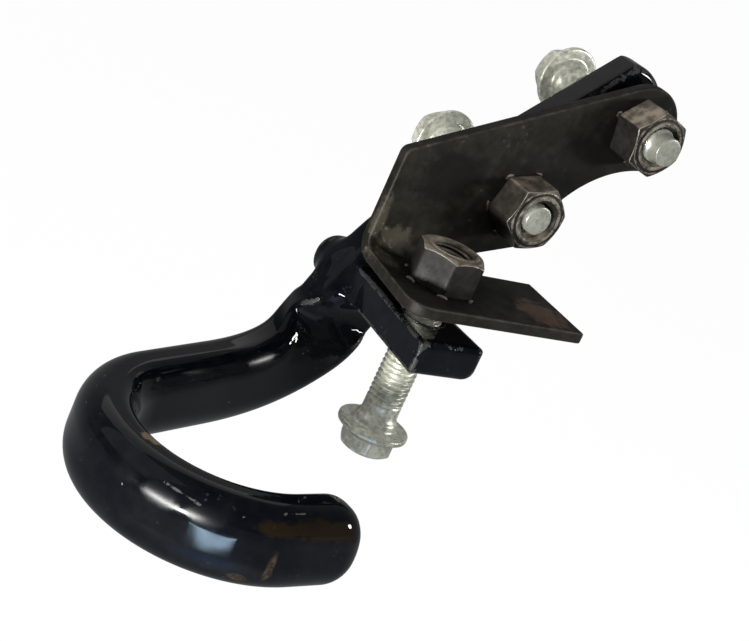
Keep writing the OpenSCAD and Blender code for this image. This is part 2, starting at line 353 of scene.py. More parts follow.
@dataclass(frozen=True)
class Layout:
    """Where the bolts, the plate and the hook meet, as in the CAD source."""

    rail_wall: float = 7.2
    row_angle: float = 44.0
    row_pitch: float = 48.0
    lower_bolt_ahead: float = 34.0
    lower_bolt_inboard: float = 24.0
    rail_floor_drop: float = 28.0
    plate_t: float = 4.0
    nut_h: float = 12.5
    nut_af: float = 20.0
    shank_t: float = 12.0
    lug_t: float = 11.6
    bolt_len: float = 57.5
    rear_bolt_proud: float = 4.5
    lower_bolt_shy: float = 5.5
    hook_hole_d: float = 12.9
    plate_hole_d: float = 12.2

    @property
    def rear(self) -> np.ndarray:
        """Place of the rear bolt on the rail."""
        return self.row_pitch * slope(self.row_angle)

    @property
    def lower(self) -> np.ndarray:
        """Place of the lower bolt, on top of the plate's flange."""
        top = self.plate_t - self.rail_floor_drop
        return np.array([-self.lower_bolt_ahead, -self.lower_bolt_inboard, top])

    @property
    def lug_top(self) -> float:
        """Height of the lug's upper face."""
        return -self.rail_floor_drop - self.rail_wall

    @property
    def shank_y(self) -> float:
        """Middle plane of the shank."""
        return self.rail_wall + self.shank_t / 2.0

    @property
    def shank_end(self) -> np.ndarray:
        """Place of the rear bolt in the shank's middle plane."""
        return self.rear + np.array([0.0, self.shank_y, 0.0])


# ------------------------------------------------------------------ skins


@dataclass
class Skin:
    """A rigid piece drawn onto the zero surface of a distance field."""

    layout: Layout
    voxel: float = 0.9
    edge_span: float = 1.6
    edge_gain: float = 2.2
    pulls: int = 4
    longest_pull: float = 1.2
    least_rise: float = 0.2
    rise_span: float = 0.25
    normal_span: float = 0.3

    name: ClassVar[str]
    node: ClassVar[str]
    slot: ClassVar[Slot]

    def distance(self, p: np.ndarray, start: np.ndarray) -> np.ndarray:
        """Measures points against the surface.

        Args:
            p: Points, one row each.
            start: What self.start gave for these points.

        Returns:
            The distance of each point in millimetres, negative inside.
        """
        raise NotImplementedError

    def start(self, p: np.ndarray) -> np.ndarray:
        """Returns what is worked out once for each point."""
        return np.zeros(len(p))

    def mark(self, obj: bpy.types.Object, p: np.ndarray) -> None:
        """Stores what the finish needs besides the edges, for the mesh points p."""

    def slope_of(self, p: np.ndarray, start: np.ndarray, span: float) -> np.ndarray:
        """Finds the steepest rise of the field.

        Args:
            p: Points, one row each.
            start: What self.start gave for these points.
            span: Step to either side, in millimetres.

        Returns:
            The rise at each point, one row each.
        """
        out = np.empty_like(p)
        for i, off in enumerate(span * np.eye(3)):
            rise = self.distance(p + off, start) - self.distance(p - off, start)
            out[:, i] = rise / (2 * span)
        return out

    def _rough(self) -> bpy.types.Object:
        """Meshes a copy of the CAD node evenly.

        Returns:
            The copy, under the piece's name.
        """
        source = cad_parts[self.node]
        mesh = source.data.copy()
        mesh.transform(source.matrix_world)
        rough = link("rough", mesh)
        skin = rough.modifiers.new("skin", "REMESH")
        skin.mode, skin.voxel_size = "VOXEL", self.voxel * MM
        bpy.context.view_layer.update()
        shown = rough.evaluated_get(bpy.context.evaluated_depsgraph_get())
        even = bpy.data.meshes.new_from_object(shown)
        bpy.data.objects.remove(rough)
        even.name = self.name
        return link(self.name, even)

    def build(self, material: bpy.types.Material) -> bpy.types.Object:
        """Builds the skin.

        Args:
            material: The piece's finish.

        Returns:
            The piece, which stands for its CAD node.
        """
        obj = self._rough()
        p = points_of(obj)
        start = self.start(p)
        for _ in range(self.pulls):
            rise = self.slope_of(p, start, self.rise_span)
            steep = np.maximum((rise * rise).sum(axis=1), self.least_rise)
            pull = self.distance(p, start) / steep
            p = p - np.clip(pull, -self.longest_pull, self.longest_pull)[:, None] * rise
        normal = unit(self.slope_of(p, start, self.normal_span))
        steps = self.edge_span * np.concatenate([np.eye(3), -np.eye(3)])
        around = sum(self.distance(p + step, start) for step in steps)
        bend = (around - len(steps) * self.distance(p, start)) / self.edge_span**2
        set_points(obj, p)
        obj.data.shade_smooth()
        obj.data.normals_split_custom_set_from_vertices(normal.tolist())
        put_attribute(obj, "edge", np.clip(bend * self.edge_gain, 0.0, 1.0))
        self.mark(obj, p)
        return finish_piece(obj, material, self.slot, self.node)


# ------------------------------------------------------------------ forged hook


@dataclass(frozen=True)
class BarSizes:
    """Sizes of the forged bar and its path, with the spacing of its stations."""

    bar_h: float = 27.0
    bend_t: float = 17.8
    bend_round_t: float = 7.5
    bend_round_h: float = 10.0
    shank_edge_r: float = 2.5
    shank_end_r: float = 18.0
    shank_end_from: float = 0.6
    bend_drop: float = 84.8
    bend_dip: float = 2.2
    bend_lean: float = 1.0
    bend_r: float = 38.0
    bend_ahead: float = 94.6
    bend_inboard: float = 40.0
    tip_dir: float = 185.0
    throat_dir: float = 20.0
    tip_len: float = 15.8
    throat_len: float = 30.5
    rise_dir: float = 69.5
    rise_ahead: float = 37.8
    rise_drop: float = 55.0
    throat_handle: float = 39.5
    rise_handle: float = 10.5
    row_handle_share: float = 0.33
    early_blend: float = 0.15
    cap_depth: float = 6.0
    cap_dome_r: float = 19.0
    cap_low: float = 2.0
    cap_edge: float = 6.5
    path_steps: int = 60
    turn_steps: int = 120
    step: float = 0.7


@dataclass
class ForgedBar:
    """The bar's centre line, with a section at each station."""

    layout: Layout
    sizes: BarSizes = field(default_factory=BarSizes)
    chunk: int = 4000
    reach: int = 6

    def __post_init__(self) -> None:
        """Lays out the stations."""
        at, blend = self._path()
        spans = np.linalg.norm(np.diff(at, axis=0), axis=1)
        run = np.concatenate([[0.0], np.cumsum(spans)])
        count = int(run[-1] / self.sizes.step) + 1
        even = np.linspace(0.0, run[-1], count)
        self.pitch = even[1] - even[0]
        self.at = np.stack([np.interp(even, run, at[:, i]) for i in range(3)], axis=1)
        self.blend = np.interp(even, run, blend)
        self.along = unit(np.gradient(self.at, axis=0))
        self.side = unit(np.cross(self.along, [0.0, 0.0, 1.0]))
        self.rise = np.cross(self.side, self.along)

    def _level(self, degrees: float) -> np.ndarray:
        """Returns a direction in the plane of the J."""
        return heading(degrees, self.sizes.bend_dip, self.sizes.bend_lean)

    def _path(self) -> tuple[np.ndarray, np.ndarray]:
        """Draws the path from the tip of the J to the round end of the shank.

        Returns:
            Its closely spaced points, and the blend from bend to shank section at each.
        """
        s, lay = self.sizes, self.layout
        centre = np.array([-s.bend_ahead, -s.bend_inboard, -s.bend_drop])
        tip_way, throat_way = self._level(s.tip_dir), self._level(s.throat_dir)
        rise_way, row_way = slope(s.rise_dir), slope(lay.row_angle)
        bend_start = centre + s.bend_r * self._level(s.tip_dir + 90)
        bend_end = centre + s.bend_r * self._level(s.throat_dir + 90)
        tip = bend_start - (s.tip_len + s.cap_depth) * tip_way
        throat = bend_end + s.throat_len * throat_way
        rise_at = np.array([-s.rise_ahead, lay.shank_y, -s.rise_drop])
        row = lay.shank_end
        handle = np.linalg.norm(row - rise_at) * s.row_handle_share
        k = np.linspace(0.0, 1.0, s.path_steps)[1:]
        turn = np.linspace(s.tip_dir, s.throat_dir, s.turn_steps)[1:]
        bend = np.array([centre + s.bend_r * self._level(a + 90) for a in turn])
        leaving = bezier(
            throat,
            throat + s.throat_handle * throat_way,
            rise_at - s.rise_handle * rise_way,
            rise_at,
            k,
        )
        rising = bezier(rise_at, rise_at + handle * rise_way, row - handle * row_way, row, k)
        pieces = [
            (tip[None], np.zeros(1)),
            (tip + k[:, None] * (bend_start - tip), np.zeros(len(k))),
            (bend, np.zeros(len(turn))),
            (bend_end + k[:, None] * (throat - bend_end), s.early_blend * k),
            (leaving, s.early_blend + (1 - s.early_blend) * smooth_step(k)),
            (rising, np.ones(len(k))),
            (row + k[:, None] * s.shank_end_r * row_way, np.ones(len(k))),
        ]
        return np.concatenate([p for p, _ in pieces]), np.concatenate([b for _, b in pieces])

    def first_station(self, p: np.ndarray) -> np.ndarray:
        """Finds the nearest station among all of them.

        Args:
            p: Points, one row each.

        Returns:
            The station's number for each point.
        """
        best = np.empty(len(p), int)
        for low in range(0, len(p), self.chunk):
            part = slice(low, low + self.chunk)
            gap = ((p[part][:, None, :] - self.at[None]) ** 2).sum(axis=2)
            best[part] = gap.argmin(axis=1)
        return best

    def nearest(self, p: np.ndarray, start: np.ndarray) -> np.ndarray:
        """Finds the nearest place on the centre line, looked for round a first guess.

        Args:
            p: Points, one row each.
            start: The station number guessed for each point.

        Returns:
            The place of each point, as a station number with its fraction.
        """
        offsets = np.arange(-self.reach, self.reach + 1)
        tries = np.clip(start[:, None] + offsets, 0, len(self.at) - 1)
        gap = ((p[:, None, :] - self.at[tries]) ** 2).sum(axis=2)
        i = tries[np.arange(len(p)), gap.argmin(axis=1)]
        return i + ((p - self.at[i]) * self.along[i]).sum(axis=1) / self.pitch

    def distance(self, p: np.ndarray, start: np.ndarray) -> np.ndarray:
        """Measures points against the bar's surface.

        Args:
            p: Points, one row each.
            start: The station number guessed for each point.

        Returns:
            The distance of each point, negative inside.
        """
        s = self.sizes
        f = self.nearest(p, start)
        last = len(self.at) - 1
        g = np.clip(f, 0.0, last - SMALL)
        i = np.floor(g).astype(int)
        k = (g - i)[:, None]
        side = unit(self.side[i] * (1 - k) + self.side[i + 1] * k)
        rise = unit(self.rise[i] * (1 - k) + self.rise[i + 1] * k)
        away = p - (self.at[i] * (1 - k) + self.at[i + 1] * k)
        u, v = (away * side).sum(axis=1), (away * rise).sum(axis=1)
        blend = self.blend[i] * (1 - k[:, 0]) + self.blend[i + 1] * k[:, 0]
        half_t = (s.bend_t + (self.layout.shank_t - s.bend_t) * blend) / 2
        round_t = s.bend_round_t + (s.shank_edge_r - s.bend_round_t) * blend
        round_h = s.bend_round_h + (s.shank_edge_r - s.bend_round_h) * blend
        past_row = (p - self.layout.shank_end) @ slope(self.layout.row_angle)
        past_row = np.where(f > last * s.shank_end_from, past_row, NO_CUT)
        x = np.abs(u) - (half_t - round_t)
        y = np.abs(v) - (s.bar_h / 2 - round_h)
        end = np.hypot(past_row, v) - (s.shank_end_r - round_h)
        y = np.where(past_row > 0, np.maximum(y, end), y)
        out_x, out_y = np.maximum(x, 0), np.maximum(y, 0)
        ratio = np.hypot(out_x / round_t, out_y / round_h)
        steep = np.hypot(out_x / round_t**2, out_y / round_h**2) / np.maximum(ratio, SMALL)
        corner = (ratio - 1) / np.maximum(steep, SMALL)
        section = np.where((x > 0) & (y > 0), corner, np.maximum(x - round_t, y - round_h))
        dome = (u * u + (v + s.cap_low) ** 2) / (2 * s.cap_dome_r) - f * self.pitch
        return trim(section, dome, s.cap_edge)


@dataclass(frozen=True)
class CrossLug:
    """The lug forged across the shank, with its boss behind it."""

    layout: Layout
    width: float = 26.0
    taper: float = 4.5
    reach: float = 19.0
    corner_r: float = 1.5
    low_edge_r: float = 4.5
    edge: float = 1.3
    boss_len: float = 6.0
    boss_w: float = 24.0
    boss_h: float = 15.0
    boss_rise: float = 2.4
    boss_r: float = 7.0
    boss_edge: float = 3.0

    def distance(self, p: np.ndarray) -> np.ndarray:
        """Measures points against the lug's surface.

        Args:
            p: Points, one row each.

        Returns:
            The distance of each point, negative inside.
        """
        lay = self.layout
        half = self.width / 2
        end_y = lay.lower[1] - self.reach
        x, z = p[:, 0] - lay.lower[0], p[:, 2] - (lay.lug_top - lay.lug_t / 2)
        share = (p[:, 1] - end_y - self.corner_r) / -(end_y + self.corner_r)
        narrow = self.taper * np.clip(share, 0.0, 1.0)
        sides = np.where(x < 0, -x - (half - narrow), x - half)
        ends = np.maximum(end_y - p[:, 1], p[:, 1] - lay.shank_y)
        plan = rounded(sides, ends, self.corner_r)
        r = np.where((x > 0) & (z < 0), self.low_edge_r, self.edge)
        section = rounded(sides, np.abs(z) - lay.lug_t / 2, r)
        return trim(plan, section, 2 * self.edge)

    def boss(self, p: np.ndarray) -> np.ndarray:
        """Measures points against the boss behind the shank.

        Args:
            p: Points, one row each.

        Returns:
            The distance of each point, negative inside.
        """
        lay = self.layout
        middle = lay.lug_top + self.boss_rise - self.boss_h / 2
        across = np.abs(p[:, 0] - lay.lower[0]) - self.boss_w / 2
        section = rounded(across, np.abs(p[:, 2] - middle) - self.boss_h / 2, self.boss_r)
        back = lay.rail_wall + lay.shank_t + self.boss_len
        ends = np.maximum(p[:, 1] - back, lay.shank_y - p[:, 1])
        return trim(section, ends, self.boss_edge)


@dataclass(frozen=True)
class Chip:
    """A place where the paint is gone."""

    at: Point
    radius: float


@dataclass
class ForgedHook(Skin):
    """The hook, its lug and its bolt holes as one skin."""

    root_fillet: float = 9.4
    top_fillet: float = 3.5
    hole_edge: float = 1.0
    hole_zone: float = 4.0
    chips: tuple[Chip, ...] = ()

    name: ClassVar[str] = "tow_hook"
    node: ClassVar[str] = "hook"
    slot: ClassVar[Slot] = Slot.HOOK

    def __post_init__(self) -> None:
        """Makes the two forms that are joined."""
        self.bar = ForgedBar(self.layout)
        self.lug = CrossLug(self.layout)

    def start(self, p: np.ndarray) -> np.ndarray:
        """Returns the bar's nearest station for each point."""
        return self.bar.first_station(p)

    def distance(self, p: np.ndarray, start: np.ndarray) -> np.ndarray:
        """Measures points against the hook's surface.

        Args:
            p: Points, one row each.
            start: The bar's nearest station for each point.

        Returns:
            The distance of each point, negative inside.
        """
        lay = self.layout
        x, y, z = p.T
        below = smooth_step((lay.lug_top - lay.lug_t / 2 - z) / lay.lug_t + 0.5)
        fillet = self.top_fillet + (self.root_fillet - self.top_fillet) * below
        body = blend_out(self.bar.distance(p, start), self.lug.distance(p), fillet)
        body = blend_out(body, self.lug.boss(p), self.top_fillet)
        outboard = y > 0
        at_lug = z > lay.lug_top - lay.lug_t - self.hole_zone
        return drilled(body, lay.hook_hole_d / 2, self.hole_edge, (
            (outboard, x, z),
            (outboard, x - lay.rear[0], z - lay.rear[2]),
            (at_lug, x - lay.lower[0], y - lay.lower[1]),
        ))

    def mark(self, obj: bpy.types.Object, p: np.ndarray) -> None:
        """Stores how near each point is to a chip in the paint.

        Args:
            obj: The hook.
            p: Its points.
        """
        bare = np.full(len(p), -1.0)
        for chip in self.chips:
            away = np.linalg.norm(p - np.array(chip.at), axis=1)
            bare = np.maximum(bare, 1 - away / chip.radius)
        put_attribute(obj, "bare", bare)


# ------------------------------------------------------------------ folded plate


@dataclass(frozen=True)
class PlateSizes:
    """Sizes of the folded plate, with the numbers of points on its arcs."""

    fold_r: float = 4.0
    ahead: float = 50.2
    shoulder: float = 9.3
    shoulder_r: float = 3.0
    tip_r: float = 15.4
    tip_behind: float = 1.0
    mid_r: float = 16.5
    waist_r: float = 40.0
    waist_web: float = 8.5
    waist_place_share: float = 0.46
    flange_reach: float = 43.2
    flange_behind: float = 14.6
    flange_slant: float = 1.2
    flange_ahead: float = 55.8
    flange_corner_r: float = 7.0
    fold_end_ahead: float = 8.0
    free_edge_back: float = 10.0
    edge_r: float = 0.7
    hole_edge: float = 0.6
    shoulder_points: int = 8
    tip_points: int = 40
    mid_points: int = 10
    corner_points: int = 12


@dataclass
class NutPlate(Skin):
    """The folded plate, worked out as a flat blank that is bent over a radius."""

    voxel: float = 0.55
    edge_span: float = 0.9
    edge_gain: float = 0.8
    sizes: PlateSizes = field(default_factory=PlateSizes)

    name: ClassVar[str] = "folded_plate"
    node: ClassVar[str] = "nut_plate"
    slot: ClassVar[Slot] = Slot.PLATE

    def __post_init__(self) -> None:
        """Draws the blank."""
        s, t = self.sizes, self.layout.plate_t
        self.fold_z = t - self.layout.rail_floor_drop + s.fold_r
        self.fold_y = -t - s.fold_r
        self.mean_r = s.fold_r + t / 2
        self.fold_run = self.mean_r * math.pi / 2
        self.blank = self._blank()

    def _down(self, y: float) -> float:
        """Returns the place of a line of the bottom flange on the flat blank."""
        return self.fold_z - self.fold_run + y - self.fold_y

    def _blank(self) -> np.ndarray:
        """Draws the outline of the flat blank.

        Returns:
            Its corners, from the leg's front edge over the tip round to the flange.
        """
        s, lay = self.sizes, self.layout
        quarter = math.pi / 2
        tip = np.array([lay.rear[0] + s.tip_behind, lay.rear[2]])
        corner = np.array([-s.ahead, s.shoulder])
        run, climb = tip - corner
        rise = math.asin(s.tip_r / math.hypot(run, climb)) + math.atan2(climb, run)
        length = s.shoulder_r * math.tan((quarter - rise) / 2)
        low = math.radians(lay.row_angle - 90)
        mid = math.radians(lay.row_angle / 2 - 90)
        lean = math.atan2(s.flange_ahead - s.ahead, s.flange_reach + self.fold_y)
        free = s.flange_corner_r * math.tan((quarter + lean) / 2)
        shoulder_at = (s.shoulder_r - s.ahead, s.shoulder - length)
        round_at = (free - s.flange_ahead, self._down(s.flange_corner_r - s.flange_reach))
        fold, end = self._down(self.fold_y), self._down(-s.flange_reach)
        free_edge = self._down(-s.free_edge_back)
        return np.concatenate([
            arc(shoulder_at, s.shoulder_r, math.pi, quarter + rise, s.shoulder_points),
            arc(tip, s.tip_r, quarter + rise, low, s.tip_points),
            arc((0.0, 0.0), s.mid_r, low, mid, s.mid_points),
            [[-s.fold_end_ahead, self.fold_z], [-s.fold_end_ahead, fold]],
            [[lay.plate_t / 2 - s.fold_end_ahead, free_edge]],
            [[s.flange_behind, free_edge], [s.flange_behind - s.flange_slant, end]],
            arc(round_at, s.flange_corner_r, -quarter, -math.pi - lean, s.corner_points),
            [[-s.ahead, fold]],
        ])

    def distance(self, p: np.ndarray, start: np.ndarray) -> np.ndarray:
        """Measures points against the plate's surface.

        Args:
            p: Points, one row each.
            start: Not used by this skin.

        Returns:
            The distance of each point, negative inside.
        """
        s, lay = self.sizes, self.layout
        x, y, z = p.T
        half = lay.plate_t / 2
        leg = (z >= self.fold_z) & (y > self.fold_y)
        flat = (y <= self.fold_y) & (z < self.fold_z)
        turn = np.arctan2(self.fold_z - z, y - self.fold_y)
        off_fold = np.abs(np.hypot(y - self.fold_y, z - self.fold_z) - self.mean_r)
        off_flat = np.abs(z - self.fold_z + self.mean_r)
        middle = np.where(leg, np.abs(y + half), np.where(flat, off_flat, off_fold))
        on_fold = self.fold_z - self.mean_r * turn
        down = np.where(leg, z, np.where(flat, self._down(0.0) + y, on_fold))
        outline = beyond_polygon(np.stack([x, down], axis=1), self.blank)
        row = slope(lay.row_angle)[[0, 2]]
        across = np.array([row[1], -row[0]])
        waist_at = row * lay.row_pitch * s.waist_place_share + (s.waist_r + s.waist_web) * across
        waist = s.waist_r - np.hypot(x - waist_at[0], z - waist_at[1])
        outline = np.maximum(outline, np.where(leg, waist, NO_CUT))
        body = rounded(middle - half, outline, s.edge_r)
        return drilled(body, lay.plate_hole_d / 2, s.hole_edge, (
            (leg, x, z),
            (leg, x - lay.rear[0], z - lay.rear[2]),
            (flat, x - lay.lower[0], y - lay.lower[1]),
        ))


# ------------------------------------------------------------------ nuts and bolts


@dataclass(frozen=True)
class Thread:
    """A metric thread, cut as a helix round Z."""

    major_r: float = 6.0
    depth: float = 0.95
    pitch: float = 1.75
    crest: float = 0.18
    flank: float = 0.66

    def radius(self, turn: np.ndarray, z: Numbers) -> np.ndarray:
        """Measures the thread.

        Args:
            turn: Angles round its axis, in radians.
            z: Heights.

        Returns:
            The bolt's radius at each angle and height.
        """
        phase = np.mod(z / self.pitch - turn / (2 * math.pi), 1.0)
        tooth = np.clip((np.abs(phase - 0.5) * 2 - self.crest) / self.flank, 0.0, 1.0)
        return self.major_r - self.depth * smooth_step(tooth)


@dataclass(frozen=True)
class Hexagon:
    """A hexagon whose slightly rounded corners lie at whole multiples of 60 degrees."""

    across_flats: float
    corner_r: float = 0.8

    def radius(self, turn: np.ndarray) -> np.ndarray:
        """Measures the outline.

        Args:
            turn: Angles round the centre, in radians.

        Returns:
            The distance from the centre to the outline at each angle.
        """
        flat = self.across_flats / 2
        half_side, side = math.pi / 6, math.pi / 3
        straight = flat / np.cos(np.mod(turn, side) - half_side)
        off_corner = np.abs(np.mod(turn + half_side, side) - half_side)
        away = (flat - self.corner_r) / math.cos(half_side)
        inner = self.corner_r**2 - (away * np.sin(off_corner)) ** 2
        soft = away * np.cos(off_corner) + np.sqrt(np.maximum(inner, 0.0))
        return np.where(inner > 0, np.minimum(straight, soft), straight)


class TurnedMesh:
    """Collects rows of points round an axis and skins them."""

    def __init__(self, columns: int) -> None:
        """Starts with no rows.

        Args:
            columns: Number of points in a row.
        """
        self.turn = np.linspace(0, 2 * math.pi, columns, endpoint=False)
        self.rows: list[np.ndarray] = []
        self.wear: list[float] = []

    def row(self, r: Numbers, z: Numbers, wear: float = 0.0) -> None:
        """Adds one row.

        Args:
            r: Its radius, or the radius at each angle.
            z: Its height, or the height at each angle.
            wear: How much the edge there is worn.
        """
        radius = np.broadcast_to(np.asarray(r, float), self.turn.shape)
        height = np.broadcast_to(np.asarray(z, float), self.turn.shape)
        x, y = radius * np.cos(self.turn), radius * np.sin(self.turn)
        self.rows.append(np.stack([x, y, height], axis=1))
        self.wear.append(wear)

    def profile(self, *rows: tuple[Numbers, Numbers, float]) -> None:
        """Adds several rows, each given by its radius, height and wear."""
        for r, z, wear in rows:
            self.row(r, z, wear)

    def fillet(
        self,
        start: tuple[Numbers, Numbers],
        pull: tuple[Numbers, Numbers],
        end: tuple[Numbers, Numbers],
        steps: int = 3,
        wear: float = 1.0,
    ) -> None:
        """Adds rows on a soft corner.

        Args:
            start: Radius and height where it starts.
            pull: Radius and height that it is drawn towards.
            end: Radius and height where it ends.
            steps: Number of steps between its rows.
            wear: How much its middle is worn.
        """
        for k in np.linspace(0, 1, steps + 1):
            a, b, c = (1 - k) ** 2, 2 * k * (1 - k), k * k
            r, z = (a * s + b * p + c * e for s, p, e in zip(start, pull, end))
            self.row(r, z, wear * math.sin(math.pi * k))

    def build(self, name: str, place: Matrix, closed: bool) -> bpy.types.Object:
        """Skins the rows.

        Args:
            name: Name of the piece.
            place: Turns and moves the piece, in millimetres.
            closed: True where the last row joins the first, as in a ring.

        Returns:
            The piece, with its edge wear stored on its points.
        """
        columns, rows = len(self.turn), len(self.rows)
        first, last = list(range(columns)), [(rows - 1) * columns + i for i in range(columns)]
        faces = grid_faces(rows, columns)
        if closed:
            following = zip(last, last[1:] + last[:1], first[1:] + first[:1], first)
            faces += [list(corners) for corners in following]
        else:
            faces += [first[::-1], last]
        turned = np.array(place)
        points = np.concatenate(self.rows) @ turned[:3, :3].T + turned[:3, 3]
        obj = add_mesh(name, points, faces)
        put_attribute(obj, "edge", np.repeat(np.array(self.wear), columns))
        return obj


def placed(facing: Facing, at: Sequence[float], turn: float) -> Matrix:
    """Places a piece that is built along Z.

    Args:
        facing: Where the piece's Z ends up.
        at: Place of its zero point, in millimetres.
        turn: Turn about its own axis, in degrees.

    Returns:
        A matrix in millimetres.
    """
    about = Matrix.Rotation(math.radians(turn), 4, "Z")
    tilt = Matrix.Identity(4)
    if facing is Facing.INBOARD:
        tilt = Matrix.Rotation(math.radians(90), 4, "X")
    return Matrix.Translation(Vector(at)) @ tilt @ about


@dataclass(frozen=True)
class WeldNut:
    """A tall chamfered hexagon nut with a raised ring round its thread."""

    name: str
    node: str
    facing: Facing
    at: Point
    turn: float
    thread_shown: float
    across_flats: float
    height: float
    columns: int = 144
    foot_r: float = 0.25
    side_from: float = 1.0
    side_to: float = 1.2
    crown_share: float = 0.965
    crown_slope: float = 0.55
    crown_out: float = 0.15
    crown_down: float = 0.09
    crown_in: float = 0.3
    chamfer_from: float = 0.45
    chamfer_in: float = 0.4
    chamfer_up: float = 0.22
    ring_in: float = 7.1
    ring_out: float = 8.5
    ring_h: float = 0.45
    ring_root: float = 0.25
    ring_edge: float = 0.12
    ring_soft: float = 0.1
    ring_land: float = 0.3
    ring_bevel: float = 0.15
    bore_r: float = 6.1
    bore_lip: float = 0.05
    bore_from: float = 1.1
    bore_foot: float = 1.0
    thread_from: float = 1.3
    thread_lead: float = 1.2
    thread_end: float = 0.2
    thread_step: float = 0.16
    thread: Thread = Thread(6.12, 0.85)

    def build(self, material: bpy.types.Material) -> bpy.types.Object:
        """Builds the nut.

        Args:
            material: Its coat.

        Returns:
            The nut, which stands for its CAD node.
        """
        skin = TurnedMesh(self.columns)
        hexagon = Hexagon(self.across_flats).radius(skin.turn)
        top, face = self.height, self.height - self.ring_h
        crown = self.across_flats / 2 * self.crown_share
        chamfer = face - (hexagon - crown) * self.crown_slope
        near_corner = (hexagon - crown) / (hexagon.max() - crown)
        land = self.bore_r + self.bore_lip
        skin.profile(
            (self.bore_r, 0.0, 0.0),
            (hexagon - self.foot_r, 0.0, RUBBED),
            (hexagon, self.foot_r, RUBBED),
            (hexagon, self.side_from, 0.0),
            (hexagon, chamfer - self.side_to, 0.0),
        )
        skin.fillet(
            (hexagon, chamfer - self.chamfer_from),
            (hexagon, chamfer),
            (hexagon - self.chamfer_in * near_corner, chamfer + self.chamfer_up * near_corner),
        )
        skin.profile(
            (crown + self.crown_out, face - self.crown_down, WORN),
            (crown - self.crown_in, face, 0.6),
            (self.ring_out + self.ring_root, face, 0.0),
            (self.ring_out, face + self.ring_edge, TOUCHED),
            (self.ring_out - self.ring_edge, top - self.ring_soft, WORN),
            (self.ring_out - self.ring_land, top, WORN),
            (self.ring_in + self.ring_root, top, WORN),
            (self.ring_in, top - self.ring_bevel, DULLED),
            (land, top - self.bore_from, 0.0),
        )
        if self.thread_shown > 0:
            start = top - self.thread_from
            for z in np.arange(start, top - self.thread_shown, -self.thread_step):
                lead = float(smooth_step((start - z) / self.thread_lead))
                skin.row(land + lead * (self.thread.radius(skin.turn, z) - land), z)
            skin.row(self.bore_r, top - self.thread_shown - self.thread_end)
        skin.row(self.bore_r, self.bore_foot)
        obj = skin.build(self.name, placed(self.facing, self.at, self.turn), closed=True)
        return finish_piece(obj, material, Slot.NUT, self.node)


